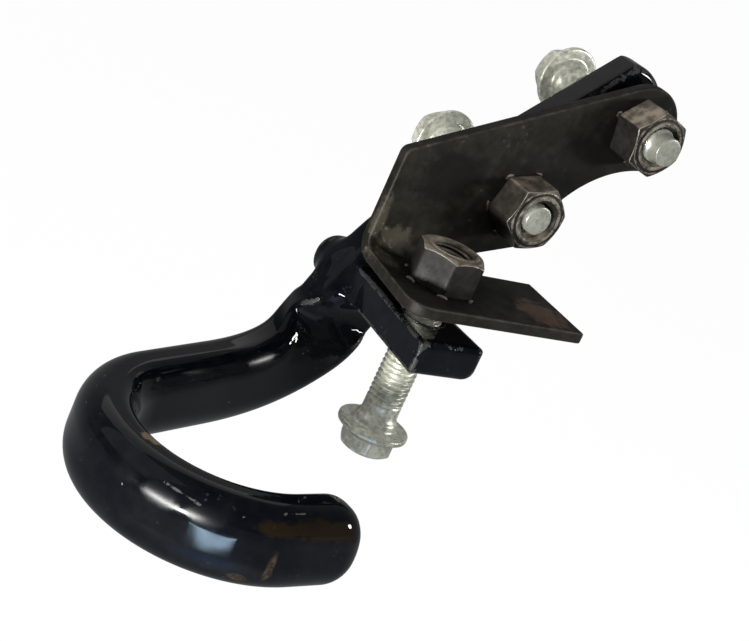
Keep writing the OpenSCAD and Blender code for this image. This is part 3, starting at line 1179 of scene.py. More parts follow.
@dataclass(frozen=True)
class FlangeBolt:
    """A flange bolt with a collar under its head, a threaded shank and a dog point."""

    name: str
    node: str
    facing: Facing
    at: Point
    turn: float
    length: float
    columns: int = 96
    axis_r: float = 0.6
    head_h: float = 9.0
    across_flats: float = 16.0
    hexagon_r: float = 0.7
    dish_r: float = 4.9
    dish_depth: float = 0.7
    dish_edge_r: float = 5.5
    dish_edge_depth: float = 0.12
    dish_rim_r: float = 5.9
    crown_share: float = 0.93
    crown_slope: float = 0.6
    crown_in: float = 0.3
    crown_lip: float = 0.08
    chamfer_to: float = 0.7
    side_to: float = 1.0
    flange_r: float = 11.75
    rim: float = 2.0
    cone_h: float = 1.6
    cone_edge: float = 0.5
    cone_root: float = 0.45
    cone_out: float = 1.2
    rim_r: float = 0.7
    rim_share: float = 0.2
    face_r: float = 0.8
    face_pull: float = 0.05
    face_drop: float = 0.02
    face_in: float = 1.6
    collar_r: float = 7.3
    collar_h: float = 3.0
    collar_gap: float = 1.2
    collar_root: float = 1.0
    collar_root_h: float = 0.9
    collar_draft: float = 0.1
    collar_end_from: float = 1.4
    collar_step: float = 0.5
    collar_end_r: float = 6.6
    neck_r: float = 6.0
    neck_len: float = 1.0
    shank_r: float = 5.95
    plain_to: float = 8.0
    lead_in: float = 1.4
    lead_out: float = 0.9
    lead_past: float = 0.4
    thread_step: float = 0.17
    dog_r: float = 4.9
    dog_len: float = 4.0
    dog_cone: float = 1.1
    dog_step: float = 0.5
    dog_edge: float = 0.6
    dog_face: float = 1.2
    thread: Thread = Thread()

    def build(self, material: bpy.types.Material) -> bpy.types.Object:
        """Builds the bolt.

        Args:
            material: Its plating.

        Returns:
            The bolt, which stands for its CAD node.
        """
        skin = TurnedMesh(self.columns)
        self._head(skin)
        self._flange(skin)
        self._collar(skin)
        self._shank(skin)
        obj = skin.build(self.name, placed(self.facing, self.at, self.turn), closed=False)
        return finish_piece(obj, material, Slot.BOLT, self.node)

    def _head(self, skin: TurnedMesh) -> None:
        """Adds the dished end, the chamfer and the sides of the hexagon.

        Args:
            skin: The bolt's rows.
        """
        hexagon = Hexagon(self.across_flats, self.hexagon_r).radius(skin.turn)
        top = -self.head_h
        crown = self.across_flats / 2 * self.crown_share
        drop = (hexagon - crown) * self.crown_slope
        lip = top + self.crown_lip
        skin.profile(
            (self.axis_r, top + self.dish_depth, 0.0),
            (self.dish_r, top + self.dish_depth, 0.0),
            (self.dish_edge_r, top + self.dish_edge_depth, DULLED),
            (self.dish_rim_r, top, WORN),
            (crown - self.crown_in, top, WORN),
            (crown, lip, WORN),
        )
        skin.fillet(
            (crown + 0.5 * (hexagon - crown), lip + 0.5 * drop),
            (hexagon, lip + drop),
            (hexagon, top + self.chamfer_to + drop),
        )
        skin.row(hexagon, -self.rim - self.cone_h - self.side_to)

    def _flange(self, skin: TurnedMesh) -> None:
        """Adds the cone between the hexagon and the rim, the rim and the bearing face.

        Args:
            skin: The bolt's rows.
        """
        hexagon = Hexagon(self.across_flats, self.hexagon_r).radius(skin.turn)
        edge = self.flange_r - self.cone_edge
        fall = self.cone_h / (edge - self.across_flats / 2 - self.cone_edge)
        root = -self.rim - (edge - hexagon) * fall
        skin.fillet(
            (hexagon, root - self.cone_edge),
            (hexagon, root),
            (hexagon + self.cone_root, root + self.cone_root * fall),
            wear=-0.4,
        )
        skin.row(self.flange_r - self.cone_out, -self.rim - self.rim_r * fall)
        skin.fillet(
            (self.flange_r - self.rim_r, -self.rim - self.rim_share * fall),
            (self.flange_r, -self.rim),
            (self.flange_r, self.rim_r - self.rim),
            steps=4,
        )
        skin.fillet(
            (self.flange_r, -self.rim_r),
            (self.flange_r, -self.face_pull),
            (self.flange_r - self.face_r, -self.face_drop),
            steps=4,
        )
        skin.row(self.flange_r - self.face_in, 0.0, 0.4)

    def _collar(self, skin: TurnedMesh) -> None:
        """Adds the collar under the flange.

        Args:
            skin: The bolt's rows.
        """
        r, end = self.collar_r, self.collar_h
        skin.row(r + self.collar_gap, 0.0)
        skin.fillet(
            (r + self.collar_root, 0.0),
            (r, self.collar_draft),
            (r - self.collar_draft, self.collar_root_h),
            wear=-0.2,
        )
        skin.fillet(
            (r - 1.5 * self.collar_draft, end - self.collar_end_from),
            (r - 2 * self.collar_draft, end - self.collar_step),
            (self.collar_end_r, end),
            wear=DULLED,
        )
        skin.row(self.neck_r, end + self.collar_step)

    def _shank(self, skin: TurnedMesh) -> None:
        """Adds the plain shank, the thread and the dog point.

        Args:
            skin: The bolt's rows.
        """
        skin.row(self.shank_r, self.plain_to - self.neck_len)
        start, stop = self.plain_to, self.length - self.dog_len - self.dog_cone
        for z in np.arange(start, stop + 0.01, self.thread_step):
            lead_in = smooth_step((z - start) / self.lead_in)
            lead_out = smooth_step((stop + self.lead_past - z) / self.lead_out)
            lead = float(lead_in * lead_out)
            skin.row(self.shank_r + lead * (self.thread.radius(skin.turn, z) - self.shank_r), z)
        r, end, step = self.dog_r, self.length, self.dog_step
        skin.profile(
            (r + step, stop + self.dog_edge, 0.0),
            (r, stop + self.dog_cone, 0.0),
            (r, end - self.dog_edge, 0.0),
        )
        skin.fillet((r, end - step), (r, end), (r - step, end))
        skin.row(r - self.dog_face, end)
        skin.row(self.axis_r, end)


@dataclass(frozen=True)
class WeldBeads:
    """Lumps of weld round the foot of a nut, each given by its angle and its radius."""

    name: str
    facing: Facing
    at: Point
    turn: float
    across_flats: float
    lumps: tuple[tuple[float, float], ...]
    seed: int
    columns: int = 20
    rings: int = 8
    first_ring: float = 0.06
    off_nut: float = 0.15
    waves: tuple[tuple[int, float], ...] = ((2, 0.16), (3, 0.09))
    phases: float = 6.0
    tall: float = 0.75
    along: float = 1.5
    across: float = 0.8
    sunk: float = 0.3
    wear: float = 0.35

    def _lump(self, angle: float, size: float, rng: np.random.Generator) -> np.ndarray:
        """Shapes one lump as rings from its top down into the plate.

        Args:
            angle: Where it lies round the nut, in degrees.
            size: Its radius.
            rng: Source of its unevenness.

        Returns:
            Its points, ring after ring.
        """
        around = np.linspace(0, 2 * math.pi, self.columns, endpoint=False)
        a = math.radians(angle)
        foot = Hexagon(self.across_flats).radius(np.array([a]))[0] + self.off_nut
        out = np.array([math.cos(a), math.sin(a), 0.0])
        tangent = np.array([-math.sin(a), math.cos(a), 0.0])
        up = np.array([0.0, 0.0, 1.0])
        wobble = 1.0
        for count, height in self.waves:
            wobble = wobble + height * np.sin(around * count + rng.uniform(0, self.phases))
        flat = (
            self.along * np.cos(around)[:, None] * tangent
            + self.across * np.sin(around)[:, None] * out
        )
        rows = []
        for polar in np.linspace(self.first_ring, 1.0, self.rings) * math.pi / 2:
            reach = size * math.sin(polar) * wobble
            height = self.tall * size * math.cos(polar)
            rows.append(foot * out + reach[:, None] * flat + height * up)
        rows.append(rows[-1] - self.sunk * up)
        return np.concatenate(rows)

    def build(self, material: bpy.types.Material) -> bpy.types.Object:
        """Builds the lumps.

        Args:
            material: The nut's coat.

        Returns:
            The lumps as one piece.
        """
        rng = np.random.default_rng(self.seed)
        points = [self._lump(angle, size, rng) for angle, size in self.lumps]
        skin = [f[::-1] for f in grid_faces(self.rings + 1, self.columns)]
        skin.append(list(range(self.columns)))
        faces = [[n * len(lump) + i for i in f] for n, lump in enumerate(points) for f in skin]
        place = np.array(placed(self.facing, self.at, self.turn))
        moved = np.concatenate(points) @ place[:3, :3].T + place[:3, 3]
        obj = add_mesh(self.name, moved, faces)
        put_attribute(obj, "edge", np.full(len(moved), self.wear))
        return finish_piece(obj, material, Slot.NUT)


# ------------------------------------------------------------------ shader tools


class Tree:
    """Adds nodes to a node tree and joins them."""

    def __init__(self, tree: bpy.types.NodeTree) -> None:
        """Keeps the tree."""
        self.tree = tree

    def put(self, socket: Socket, value: Feed) -> None:
        """Fills a socket.

        Args:
            socket: The input.
            value: Another socket to link it to, or its own value.
        """
        if isinstance(value, bpy.types.NodeSocket):
            self.tree.links.new(value, socket)
        elif isinstance(value, (tuple, list)) and len(value) == 3 and socket.type == "RGBA":
            socket.default_value = (*value, 1.0)
        else:
            socket.default_value = value

    def add(
        self, kind: str, inputs: dict[str | int, Feed] | None = None, **settings: object
    ) -> bpy.types.Node:
        """Adds a node.

        Args:
            kind: Blender's name of the node type.
            inputs: Values or sockets by input name or number.
            **settings: Properties of the node.

        Returns:
            The node.
        """
        node = self.tree.nodes.new(kind)
        for key, value in settings.items():
            setattr(node, key, value)
        for key, value in (inputs or {}).items():
            self.put(node.inputs[key], value)
        return node

    def main(self, kind: str) -> bpy.types.Node:
        """Returns the tree's own node of a type, such as its shader."""
        return next(n for n in self.tree.nodes if n.type == kind)

    def maths(self, operation: str, *values: Feed, clamp: bool = False) -> Socket:
        """Returns the result of an arithmetic node."""
        inputs = dict(enumerate(values))
        return self.add("ShaderNodeMath", inputs, operation=operation, use_clamp=clamp).outputs[0]

    def times(self, *values: Feed, clamp: bool = False) -> Socket:
        """Returns the product of two values."""
        return self.maths("MULTIPLY", *values, clamp=clamp)

    def plus(self, *values: Feed) -> Socket:
        """Returns the sum of two values."""
        return self.maths("ADD", *values)

    def most(self, first: Feed, *others: Feed) -> Feed:
        """Returns the greatest of some values.

        Args:
            first: One value.
            *others: The other values.

        Returns:
            The greatest.
        """
        for other in others:
            first = self.maths("MAXIMUM", first, other)
        return first

    def vector(self, operation: str, *values: Feed) -> Socket:
        """Calculates with vectors.

        Args:
            operation: Blender's name of the operation.
            *values: Its inputs.

        Returns:
            The result, a number or a vector as the operation gives.
        """
        inputs = dict(enumerate(values))
        node = self.add("ShaderNodeVectorMath", inputs, operation=operation)
        gives_number = operation in {"DOT_PRODUCT", "LENGTH", "DISTANCE"}
        return node.outputs["Value" if gives_number else "Vector"]

    def spread(
        self, value: Feed, low: Feed, high: Feed, out_low: Feed = 0.0, out_high: Feed = 1.0
    ) -> Socket:
        """Takes a value from one range into another with soft ends.

        Args:
            value: The value.
            low: Start of its range.
            high: End of its range.
            out_low: What the start becomes.
            out_high: What the end becomes.

        Returns:
            The value in the other range.
        """
        names = ("Value", "From Min", "From Max", "To Min", "To Max")
        inputs = dict(zip(names, (value, low, high, out_low, out_high)))
        node = self.add("ShaderNodeMapRange", inputs, interpolation_type="SMOOTHSTEP")
        return node.outputs["Result"]

    def noise(
        self,
        where: Feed,
        scale: Feed,
        detail: float = 4.0,
        roughness: float = 0.55,
        warp: float = 0.0,
    ) -> Socket:
        """Makes noise.

        Args:
            where: Place to read it at.
            scale: How fine it is.
            detail: Number of finer layers.
            roughness: Share of each finer layer.
            warp: How much it is distorted.

        Returns:
            The noise, about 0.5 on average.
        """
        inputs = {
            "Vector": where,
            "Scale": scale,
            "Detail": detail,
            "Roughness": roughness,
            "Distortion": warp,
        }
        return self.add("ShaderNodeTexNoise", inputs).outputs["Fac"]

    def unevenness(self, value: Socket, gain: Feed) -> Socket:
        """Returns noise moved to swing round zero, times a gain."""
        return self.times(self.maths("SUBTRACT", value, 0.5), gain)

    def mix(self, share: Feed, a: Feed, b: Feed) -> Socket:
        """Returns a colour between a and b."""
        node = self.add("ShaderNodeMix", data_type="RGBA", clamp_factor=True)
        return self._filled(node, {0: share, 6: a, 7: b}, 2)

    def blend(self, share: Feed, a: Feed, b: Feed) -> Socket:
        """Returns a number between a and b."""
        node = self.add("ShaderNodeMix", data_type="FLOAT", clamp_factor=True)
        return self._filled(node, {0: share, 2: a, 3: b}, 0)

    def _filled(self, node: bpy.types.Node, inputs: dict[int, Feed], output: int) -> Socket:
        """Fills a node whose sockets share names.

        Args:
            node: The node.
            inputs: Values or sockets by input number.
            output: Number of the output.

        Returns:
            That output.
        """
        for key, value in inputs.items():
            self.put(node.inputs[key], value)
        return node.outputs[output]


class EffectTree(Tree):
    """The node group of a shared effect, which reads the place as Where."""

    def __init__(self, name: str, outputs: Sequence[str] = ("Mask",), **inputs: Feed) -> None:
        """Starts the group.

        Args:
            name: The effect's name.
            outputs: Names of its outputs, which are all numbers.
            **inputs: Default values by input name, a tuple where the input is a vector.
        """
        super().__init__(bpy.data.node_groups.new(name, "ShaderNodeTree"))
        sockets = self.tree.interface
        sockets.new_socket(name="Where", in_out="INPUT", socket_type="NodeSocketVector")
        for label, value in inputs.items():
            kind = "NodeSocketVector" if isinstance(value, tuple) else "NodeSocketFloat"
            socket = sockets.new_socket(name=label, in_out="INPUT", socket_type=kind)
            socket.default_value = value
        for label in outputs:
            sockets.new_socket(name=label, in_out="OUTPUT", socket_type="NodeSocketFloat")
        self.given = {o.name: o for o in self.tree.nodes.new("NodeGroupInput").outputs}
        self.leave = self.tree.nodes.new("NodeGroupOutput")

    def hand_out(self, **outputs: Socket) -> bpy.types.NodeTree:
        """Joins the outputs.

        Args:
            **outputs: Sockets by output name.

        Returns:
            The finished group.
        """
        for label, value in outputs.items():
            self.put(self.leave.inputs[label], value)
        return self.tree


class Effects:
    """Node groups that several finishes share."""

    def __init__(self) -> None:
        """Builds each effect once."""
        self.edge_wear = self._edge_wear()
        self.scratches = self._scratches()
        self.speckle = self._speckle()
        self.forged_skin = self._forged_skin()
        self.score = self._score()
        self.stain = self._stain()

    @staticmethod
    def _edge_wear() -> bpy.types.NodeTree:
        """Makes wear on convex edges, broken up by noise.

        Returns:
            The group.
        """
        t = EffectTree("edge_wear", Edge=0.0, Scale=300.0, Reach=0.5, Hardness=0.15)
        where, scale = t.given["Where"], t.given["Scale"]
        broad = t.noise(where, scale, 5.0, 0.65)
        fine = t.noise(where, t.times(scale, 5.3), 3.0, 0.6)
        rough = t.plus(t.times(broad, 0.75), t.times(fine, 0.25))
        level = t.plus(t.given["Edge"], t.unevenness(rough, 1.6))
        cut = t.maths("SUBTRACT", 1.0, t.given["Reach"])
        return t.hand_out(Mask=t.spread(level, cut, t.plus(cut, t.given["Hardness"])))

    @staticmethod
    def _scratches() -> bpy.types.NodeTree:
        """Makes fine scratches that run one way, in patches.

        Returns:
            The group.
        """
        turn = (0.0, 0.0, 0.0)
        t = EffectTree("scratches", Turn=turn, Scale=120.0, Stretch=28.0, Density=0.3)
        where, scale, stretch = (t.given[key] for key in ("Where", "Scale", "Stretch"))
        turned = t.add(
            "ShaderNodeVectorRotate",
            {"Vector": where, "Rotation": t.given["Turn"]},
            rotation_type="EULER_XYZ",
        )
        squeeze = t.add("ShaderNodeCombineXYZ", {0: 1.0, 1: stretch, 2: stretch})
        squeezed = t.vector("MULTIPLY", turned.outputs[0], squeeze.outputs[0])
        lines = t.noise(squeezed, scale, 2.0, 0.5, 0.4)
        patches = t.noise(where, t.times(scale, 0.6), 2.0)
        inside = t.spread(t.plus(patches, t.given["Density"]), 0.78, 0.95)
        return t.hand_out(Mask=t.times(t.spread(lines, 0.66, 0.72), inside, clamp=True))

    @staticmethod
    def _speckle() -> bpy.types.NodeTree:
        """Makes small dots and pits at random.

        Returns:
            The group.
        """
        t = EffectTree("speckle", Scale=900.0, Amount=0.3)
        where, scale = t.given["Where"], t.given["Scale"]
        cells = t.add("ShaderNodeTexVoronoi", {"Vector": where, "Scale": scale}, feature="F1")
        keep = t.noise(where, t.times(scale, 0.31), 2.0)
        dots = t.spread(cells.outputs["Distance"], 0.34, 0.16)
        some = t.spread(t.plus(keep, t.given["Amount"]), 0.72, 0.86)
        return t.hand_out(Mask=t.times(dots, some, clamp=True))

    @staticmethod
    def _forged_skin() -> bpy.types.NodeTree:
        """Makes the uneven height and tone of hammered or rolled steel.

        Returns:
            The group.
        """
        t = EffectTree("forged_skin", ("Height", "Tone"), Scale=60.0)
        where, scale = t.given["Where"], t.given["Scale"]
        broad = t.noise(where, scale, 2.0, 0.5)
        middle = t.noise(where, t.times(scale, 5.0), 3.0, 0.6)
        fine = t.noise(where, t.times(scale, 24.0), 3.0, 0.6)
        small = t.plus(t.times(middle, 0.26), t.times(fine, 0.12))
        tone = t.plus(t.times(broad, 0.4), t.times(middle, 0.6))
        return t.hand_out(Height=t.plus(t.times(broad, 0.62), small), Tone=tone)

    @staticmethod
    def _score() -> bpy.types.NodeTree:
        """Makes one broken scratch between two places.

        Returns:
            The group.
        """
        t = EffectTree("score", Start=(0.0, 0.0, 0.0), End=(1.0, 0.0, 0.0), Width=0.0003)
        where, start = t.given["Where"], t.given["Start"]
        line = t.vector("SUBTRACT", t.given["End"], start)
        away = t.vector("SUBTRACT", where, start)
        ahead, whole = t.vector("DOT_PRODUCT", away, line), t.vector("DOT_PRODUCT", line, line)
        share = t.maths("DIVIDE", ahead, whole, clamp=True)
        foot = t.add("ShaderNodeVectorMath", {0: line, "Scale": share}, operation="SCALE")
        wobble = t.unevenness(t.noise(where, 420.0, 3.0), 0.0009)
        gap = t.plus(t.vector("DISTANCE", away, foot.outputs[0]), wobble)
        inside = t.spread(t.maths("DIVIDE", gap, t.given["Width"]), 1.0, 0.5)
        kept = t.spread(t.noise(where, 900.0, 2.0), 0.36, 0.5)
        return t.hand_out(Mask=t.times(inside, kept, clamp=True))

    @staticmethod
    def _stain() -> bpy.types.NodeTree:
        """Makes a soft patch round a place, frayed by noise.

        Returns:
            The group.
        """
        t = EffectTree("stain", Place=(0.0, 0.0, 0.0), Size=(1.0, 1.0, 1.0), Fray=0.5)
        where = t.given["Where"]
        away = t.vector("DIVIDE", t.vector("SUBTRACT", where, t.given["Place"]), t.given["Size"])
        ragged = t.unevenness(t.noise(where, 260.0, 5.0, 0.65), t.times(t.given["Fray"], 3.0))
        return t.hand_out(Mask=t.spread(t.plus(t.vector("LENGTH", away), ragged), 1.05, 0.55))


class Finish(Tree):
    """A new material, with its main shader and the place on the object."""

    def __init__(self, name: str) -> None:
        """Starts the material.

        Args:
            name: The finish's name.
        """
        self.material = bpy.data.materials.new(name)
        self.material.use_nodes = True
        super().__init__(self.material.node_tree)
        self.shader = self.main("BSDF_PRINCIPLED")
        self.where = self.add("ShaderNodeTexCoord").outputs["Object"]

    def stored(self, name: str) -> Socket:
        """Returns a number that is stored on the mesh."""
        return self.add("ShaderNodeAttribute", attribute_name=name).outputs["Fac"]

    def effect(self, group: bpy.types.NodeTree, **inputs: Feed) -> dict[str, Socket]:
        """Places a shared effect.

        Args:
            group: The effect's node group.
            **inputs: Values or sockets by input name.

        Returns:
            The effect's outputs by name.
        """
        node = self.add("ShaderNodeGroup", node_tree=group)
        for label, value in {"Where": self.where, **inputs}.items():
            self.put(node.inputs[label], value)
        return {o.name: o for o in node.outputs}

    def mask(self, group: bpy.types.NodeTree, **inputs: Feed) -> Socket:
        """Returns the mask of a shared effect."""
        return self.effect(group, **inputs)["Mask"]

    def patches(
        self,
        scale: float,
        detail: float,
        roughness: float,
        cut: tuple[float, float],
        out: tuple[float, float] = (0.0, 1.0),
    ) -> Socket:
        """Makes noise with a soft threshold.

        Args:
            scale: How fine it is.
            detail: Number of finer layers.
            roughness: Share of each finer layer.
            cut: Noise values between which it changes.
            out: What these two values become.

        Returns:
            The changing value.
        """
        return self.spread(self.noise(self.where, scale, detail, roughness), *cut, *out)

    def tint(self, colour: Feed, mask: Feed, share: Feed, other: Feed) -> Socket:
        """Returns the colour with a share of another one laid over it inside a mask."""
        return self.mix(self.times(mask, share), colour, other)

    def relief(self, height: Socket, strength: float, depth: float) -> None:
        """Presses a height into the surface.

        Args:
            height: The height, from 0 to 1.
            strength: How strongly it shows.
            depth: Depth of the whole range, in metres.
        """
        inputs = {"Height": height, "Strength": strength, "Distance": depth}
        self.put(self.shader.inputs["Normal"], self.add("ShaderNodeBump", inputs).outputs[0])

    def dress(self, **inputs: Feed) -> bpy.types.Material:
        """Fills the main shader.

        Args:
            **inputs: Values or sockets by input name, with _ for a space.

        Returns:
            The material.
        """
        for label, value in inputs.items():
            self.put(self.shader.inputs[label.replace("_", " ")], value)
        return self.material


# ------------------------------------------------------------------ finishes


@dataclass(frozen=True)
class Score:
    """One scratch in a coat, from place to place in millimetres."""

    start: Point
    end: Point
    width: float

    def mask(self, t: Finish, effects: Effects) -> Socket:
        """Returns where the scratch lies."""
        start, end = (tuple(c * MM for c in place) for place in (self.start, self.end))
        return t.mask(effects.score, Start=start, End=end, Width=self.width * MM)


@dataclass(frozen=True)
class Stain:
    """One patch on a coat, by its middle and half sizes in millimetres."""

    at: Point
    size: Point
    fray: float = 0.5

    def mask(self, t: Finish, effects: Effects) -> Socket:
        """Returns where the patch lies."""
        place, size = (tuple(c * MM for c in item) for item in (self.at, self.size))
        return t.mask(effects.stain, Place=place, Size=size, Fray=self.fray)


def any_mark(t: Finish, effects: Effects, marks: Sequence[Score | Stain]) -> Feed:
    """Returns where at least one of the marks lies."""
    return t.most(0.0, *(mark.mask(t, effects) for mark in marks))


def darker(colour: Colour, share: float) -> Colour:
    """Returns the colour times a share."""
    return tuple(c * share for c in colour)


@dataclass(frozen=True)
class HookPaint:
    """Gloss black paint over forged steel, chipped and scratched, with a painted brown reflection
    along the tip.
    """

    base: Colour = (0.0011, 0.0014, 0.0026)
    haze: Colour = (0.0030, 0.0034, 0.0046)
    bare: Colour = (0.17, 0.115, 0.07)
    scuff: Colour = (0.050, 0.049, 0.046)
    # Dark brown of the painted reflection along the top edge of the J's tip.
    reflected_brown: Colour = (0.0085, 0.0056, 0.0026)
    roughness: float = 0.04
    roughness_range: float = 0.035
    worn_roughness: float = 0.6
    matted: float = 0.25
    specular: float = 0.2
    ridge: tuple[Stain, ...] = (
        Stain((-138.0, -56.0, -79.6), (7.0, 8.0, 4.2), 0.25),
        Stain((-132.0, -68.0, -80.0), (8.0, 8.0, 4.2), 0.25),
        Stain((-122.0, -78.0, -79.6), (9.0, 7.0, 3.6), 0.25),
        Stain((-66.0, 3.0, -71.5), (13.0, 6.0, 5.0), 0.25),
    )
    scores: tuple[Score, ...] = (
        Score((-138.7, -28.1, -77.2), (-129.4, -17.4, -72.6), 0.35),
        Score((-139.6, -33.0, -78.0), (-133.6, -22.0, -73.6), 0.25),
        Score((-131.0, -66.8, -76.5), (-123.6, -75.4, -77.5), 0.45),
        Score((-129.0, -66.0, -75.0), (-124.6, -71.4, -75.0), 0.3),
        Score((-101.6, -83.0, -73.9), (-91.9, -76.2, -71.9), 0.35),
        Score((-98.0, -82.5, -73.4), (-95.0, -78.0, -71.9), 0.3),
        Score((-113.6, -81.3, -76.6), (-96.7, -82.9, -73.3), 0.3),
        Score((-96.7, -82.9, -73.3), (-78.8, -81.4, -73.0), 0.3),
        Score((-46.2, -40.4, -40.3), (-45.5, -42.2, -35.9), 0.25),
    )
    tan: tuple[Stain, ...] = (
        Stain((-101.4, -85.8, -89.0), (1.5, 3.0, 6.0), 0.7),
        Stain((-109.1, -83.5, -94.5), (4.5, 3.0, 1.6), 0.7),
    )
    # Painted reflection: a brownish band of reflected surroundings along the top edge of the J's
    # tip, laid into the paint's colour.
    brown_reflection: tuple[Stain, ...] = (
        Stain((-88.0, -84.8, -77.0), (17.0, 4.0, 3.8), 0.5),
        Stain((-103.0, -85.5, -77.4), (11.0, 4.0, 2.6), 0.6),
    )

    def build(self, effects: Effects) -> bpy.types.Material:
        """Builds the paint.

        Args:
            effects: The shared effects.

        Returns:
            The material.
        """
        t = Finish("hook_gloss_black")
        tone = t.effect(effects.forged_skin, Scale=45.0)["Tone"]
        edge = t.mask(
            effects.edge_wear, Edge=t.stored("edge"), Scale=260.0, Reach=0.12, Hardness=0.12
        )
        lines = t.mask(
            effects.scratches, Turn=(0.3, 0.5, 0.7), Scale=70.0, Stretch=26.0, Density=0.16
        )
        dots = t.mask(effects.speckle, Scale=620.0, Amount=0.12)
        near_chip = t.plus(
            t.stored("bare"), t.unevenness(t.noise(t.where, 420.0, 6.0, 0.65), 1.5)
        )
        chip = t.spread(near_chip, 0.28, 0.40)
        rim = t.spread(near_chip, 0.10, 0.30)
        scored, tan, brown_reflection, ridge = (
            any_mark(t, effects, marks) for marks in (self.scores, self.tan, self.brown_reflection, self.ridge)
        )
        rust = t.mix(t.noise(t.where, 900.0, 4.0), self.bare, darker(self.bare, 0.45))
        colour = t.mix(t.spread(tone, 0.35, 0.7), self.base, self.haze)
        # Paints the brownish reflection along the tip into the base colour.
        colour = t.tint(colour, brown_reflection, 0.8, self.reflected_brown)
        for mask, share in ((lines, 0.35), (dots, 0.22), (edge, 0.4), (scored, 0.85), (rim, 0.35)):
            colour = t.tint(colour, mask, share, self.scuff)
        thin = t.patches(520.0, 5.0, 0.7, (0.4, 0.75), (0.05, 0.55))
        colour = t.mix(chip, t.tint(colour, tan, thin, rust), rust)
        worn = t.most(chip, scored, edge, t.times(lines, 0.6), t.times(tan, 0.45))
        smooth = (self.roughness, self.roughness + self.roughness_range)
        gloss = t.patches(38.0, 4.0, 0.6, (0.3, 0.75), smooth)
        gloss = t.blend(ridge, gloss, self.matted)
        dents = t.noise(t.where, 60.0, 1.0, 0.3)
        t.relief(t.maths("SUBTRACT", dents, t.times(worn, 0.22)), 0.2, 0.0006)
        return t.dress(
            Base_Color=colour,
            Roughness=t.blend(worn, gloss, self.worn_roughness),
            Specular_IOR_Level=self.specular,
        )


@dataclass(frozen=True)
class PlateCoat:
    """Thin dark coat on rolled steel, rubbed at the fold and dusty, with darker patches round the
    nuts and a painted shadow of the long leg on the flange.
    """

    base: Colour = (0.0046, 0.0040, 0.0027)
    light: Colour = (0.0125, 0.0110, 0.0078)
    # Colour of the darker patches on the leg and of the painted shadow on the flange.
    patch_and_shadow_dark: Colour = (0.0016, 0.0014, 0.0012)
    rust: Colour = (0.060, 0.036, 0.022)
    bare: Colour = (0.105, 0.097, 0.076)
    roughness: float = 0.46
    roughness_range: float = 0.2
    specular: float = 0.14
    rubbed: tuple[Stain, ...] = (
        Stain((-40.5, -5.0, -19.5), (8.0, 3.5, 5.0), 0.5),
        Stain((-47.0, -10.0, -25.0), (4.5, 9.0, 3.0), 0.5),
        Stain((-49.0, -4.0, -14.0), (2.5, 3.0, 9.0), 0.6),
    )
    rusty: tuple[Stain, ...] = (
        Stain((3.0, -33.0, -24.0), (11.0, 10.0, 3.0), 0.6),
    )
    # Darker patches on the leg round the nuts and near the fold; the two at z -24 on the flange are
    # a painted shadow of the long leg.
    dark_patches_and_shadow: tuple[Stain, ...] = (
        Stain((34.5, -4.0, 33.3), (21.0, 3.0, 21.0), 0.35),
        Stain((0.0, -4.0, 0.0), (19.0, 3.0, 19.0), 0.35),
        Stain((18.0, -4.0, 17.0), (16.0, 3.0, 14.0), 0.5),
        Stain((-20.0, -14.0, -24.0), (11.0, 11.0, 3.0), 0.4),
        Stain((-4.0, -4.0, -20.0), (12.0, 4.0, 7.0), 0.5),
        Stain((-12.0, -27.0, -24.0), (14.0, 10.0, 3.0), 0.4),
        Stain((-30.0, -4.0, 4.0), (14.0, 3.0, 12.0), 0.6),
    )

    def build(self, effects: Effects) -> bpy.types.Material:
        """Builds the coat.

        Args:
            effects: The shared effects.

        Returns:
            The material.
        """
        t = Finish("plate_dark_coat")
        skin = t.effect(effects.forged_skin, Scale=55.0)
        lines = t.mask(
            effects.scratches, Turn=(0.0, 0.9, 0.0), Scale=110.0, Stretch=24.0, Density=0.24
        )
        cross = t.mask(
            effects.scratches, Turn=(0.2, -0.5, 0.3), Scale=90.0, Stretch=30.0, Density=0.18
        )
        dots = t.mask(effects.speckle, Scale=430.0, Amount=0.14)
        edge = t.mask(
            effects.edge_wear, Edge=t.stored("edge"), Scale=300.0, Reach=0.3, Hardness=0.5
        )
        rubbed, rusty, dark_patches_and_shadow = (
            any_mark(t, effects, marks) for marks in (self.rubbed, self.rusty, self.dark_patches_and_shadow)
        )
        specks = t.times(rubbed, t.patches(340.0, 6.0, 0.7, (0.54, 0.66)))
        rusted = t.times(rusty, t.spread(skin["Tone"], 0.3, 0.6, 0.45, 1.0))
        colour = t.mix(t.spread(skin["Tone"], 0.36, 0.68), self.base, self.light)
        # Darkens the leg round the nuts and paints the long leg's shadow onto the flange.
        colour = t.tint(colour, dark_patches_and_shadow, 0.75, self.patch_and_shadow_dark)
        colour = t.tint(colour, rubbed, 0.6, darker(self.light, 4.0))
        colour = t.mix(rusted, colour, self.rust)
        colour = t.tint(colour, t.most(lines, cross), 0.25, self.bare)
        colour = t.tint(colour, dots, 0.2, self.bare)
        colour = t.mix(t.most(t.times(edge, 0.2), t.times(specks, 0.8)), colour, self.bare)
        rough = (self.roughness, self.roughness + self.roughness_range)
        t.relief(t.maths("SUBTRACT", skin["Height"], t.times(specks, 0.15)), 0.5, 0.0005)
        return t.dress(
            Base_Color=colour,
            Roughness=t.patches(60.0, 5.0, 0.6, (0.3, 0.7), rough),
            Specular_IOR_Level=self.specular,
        )


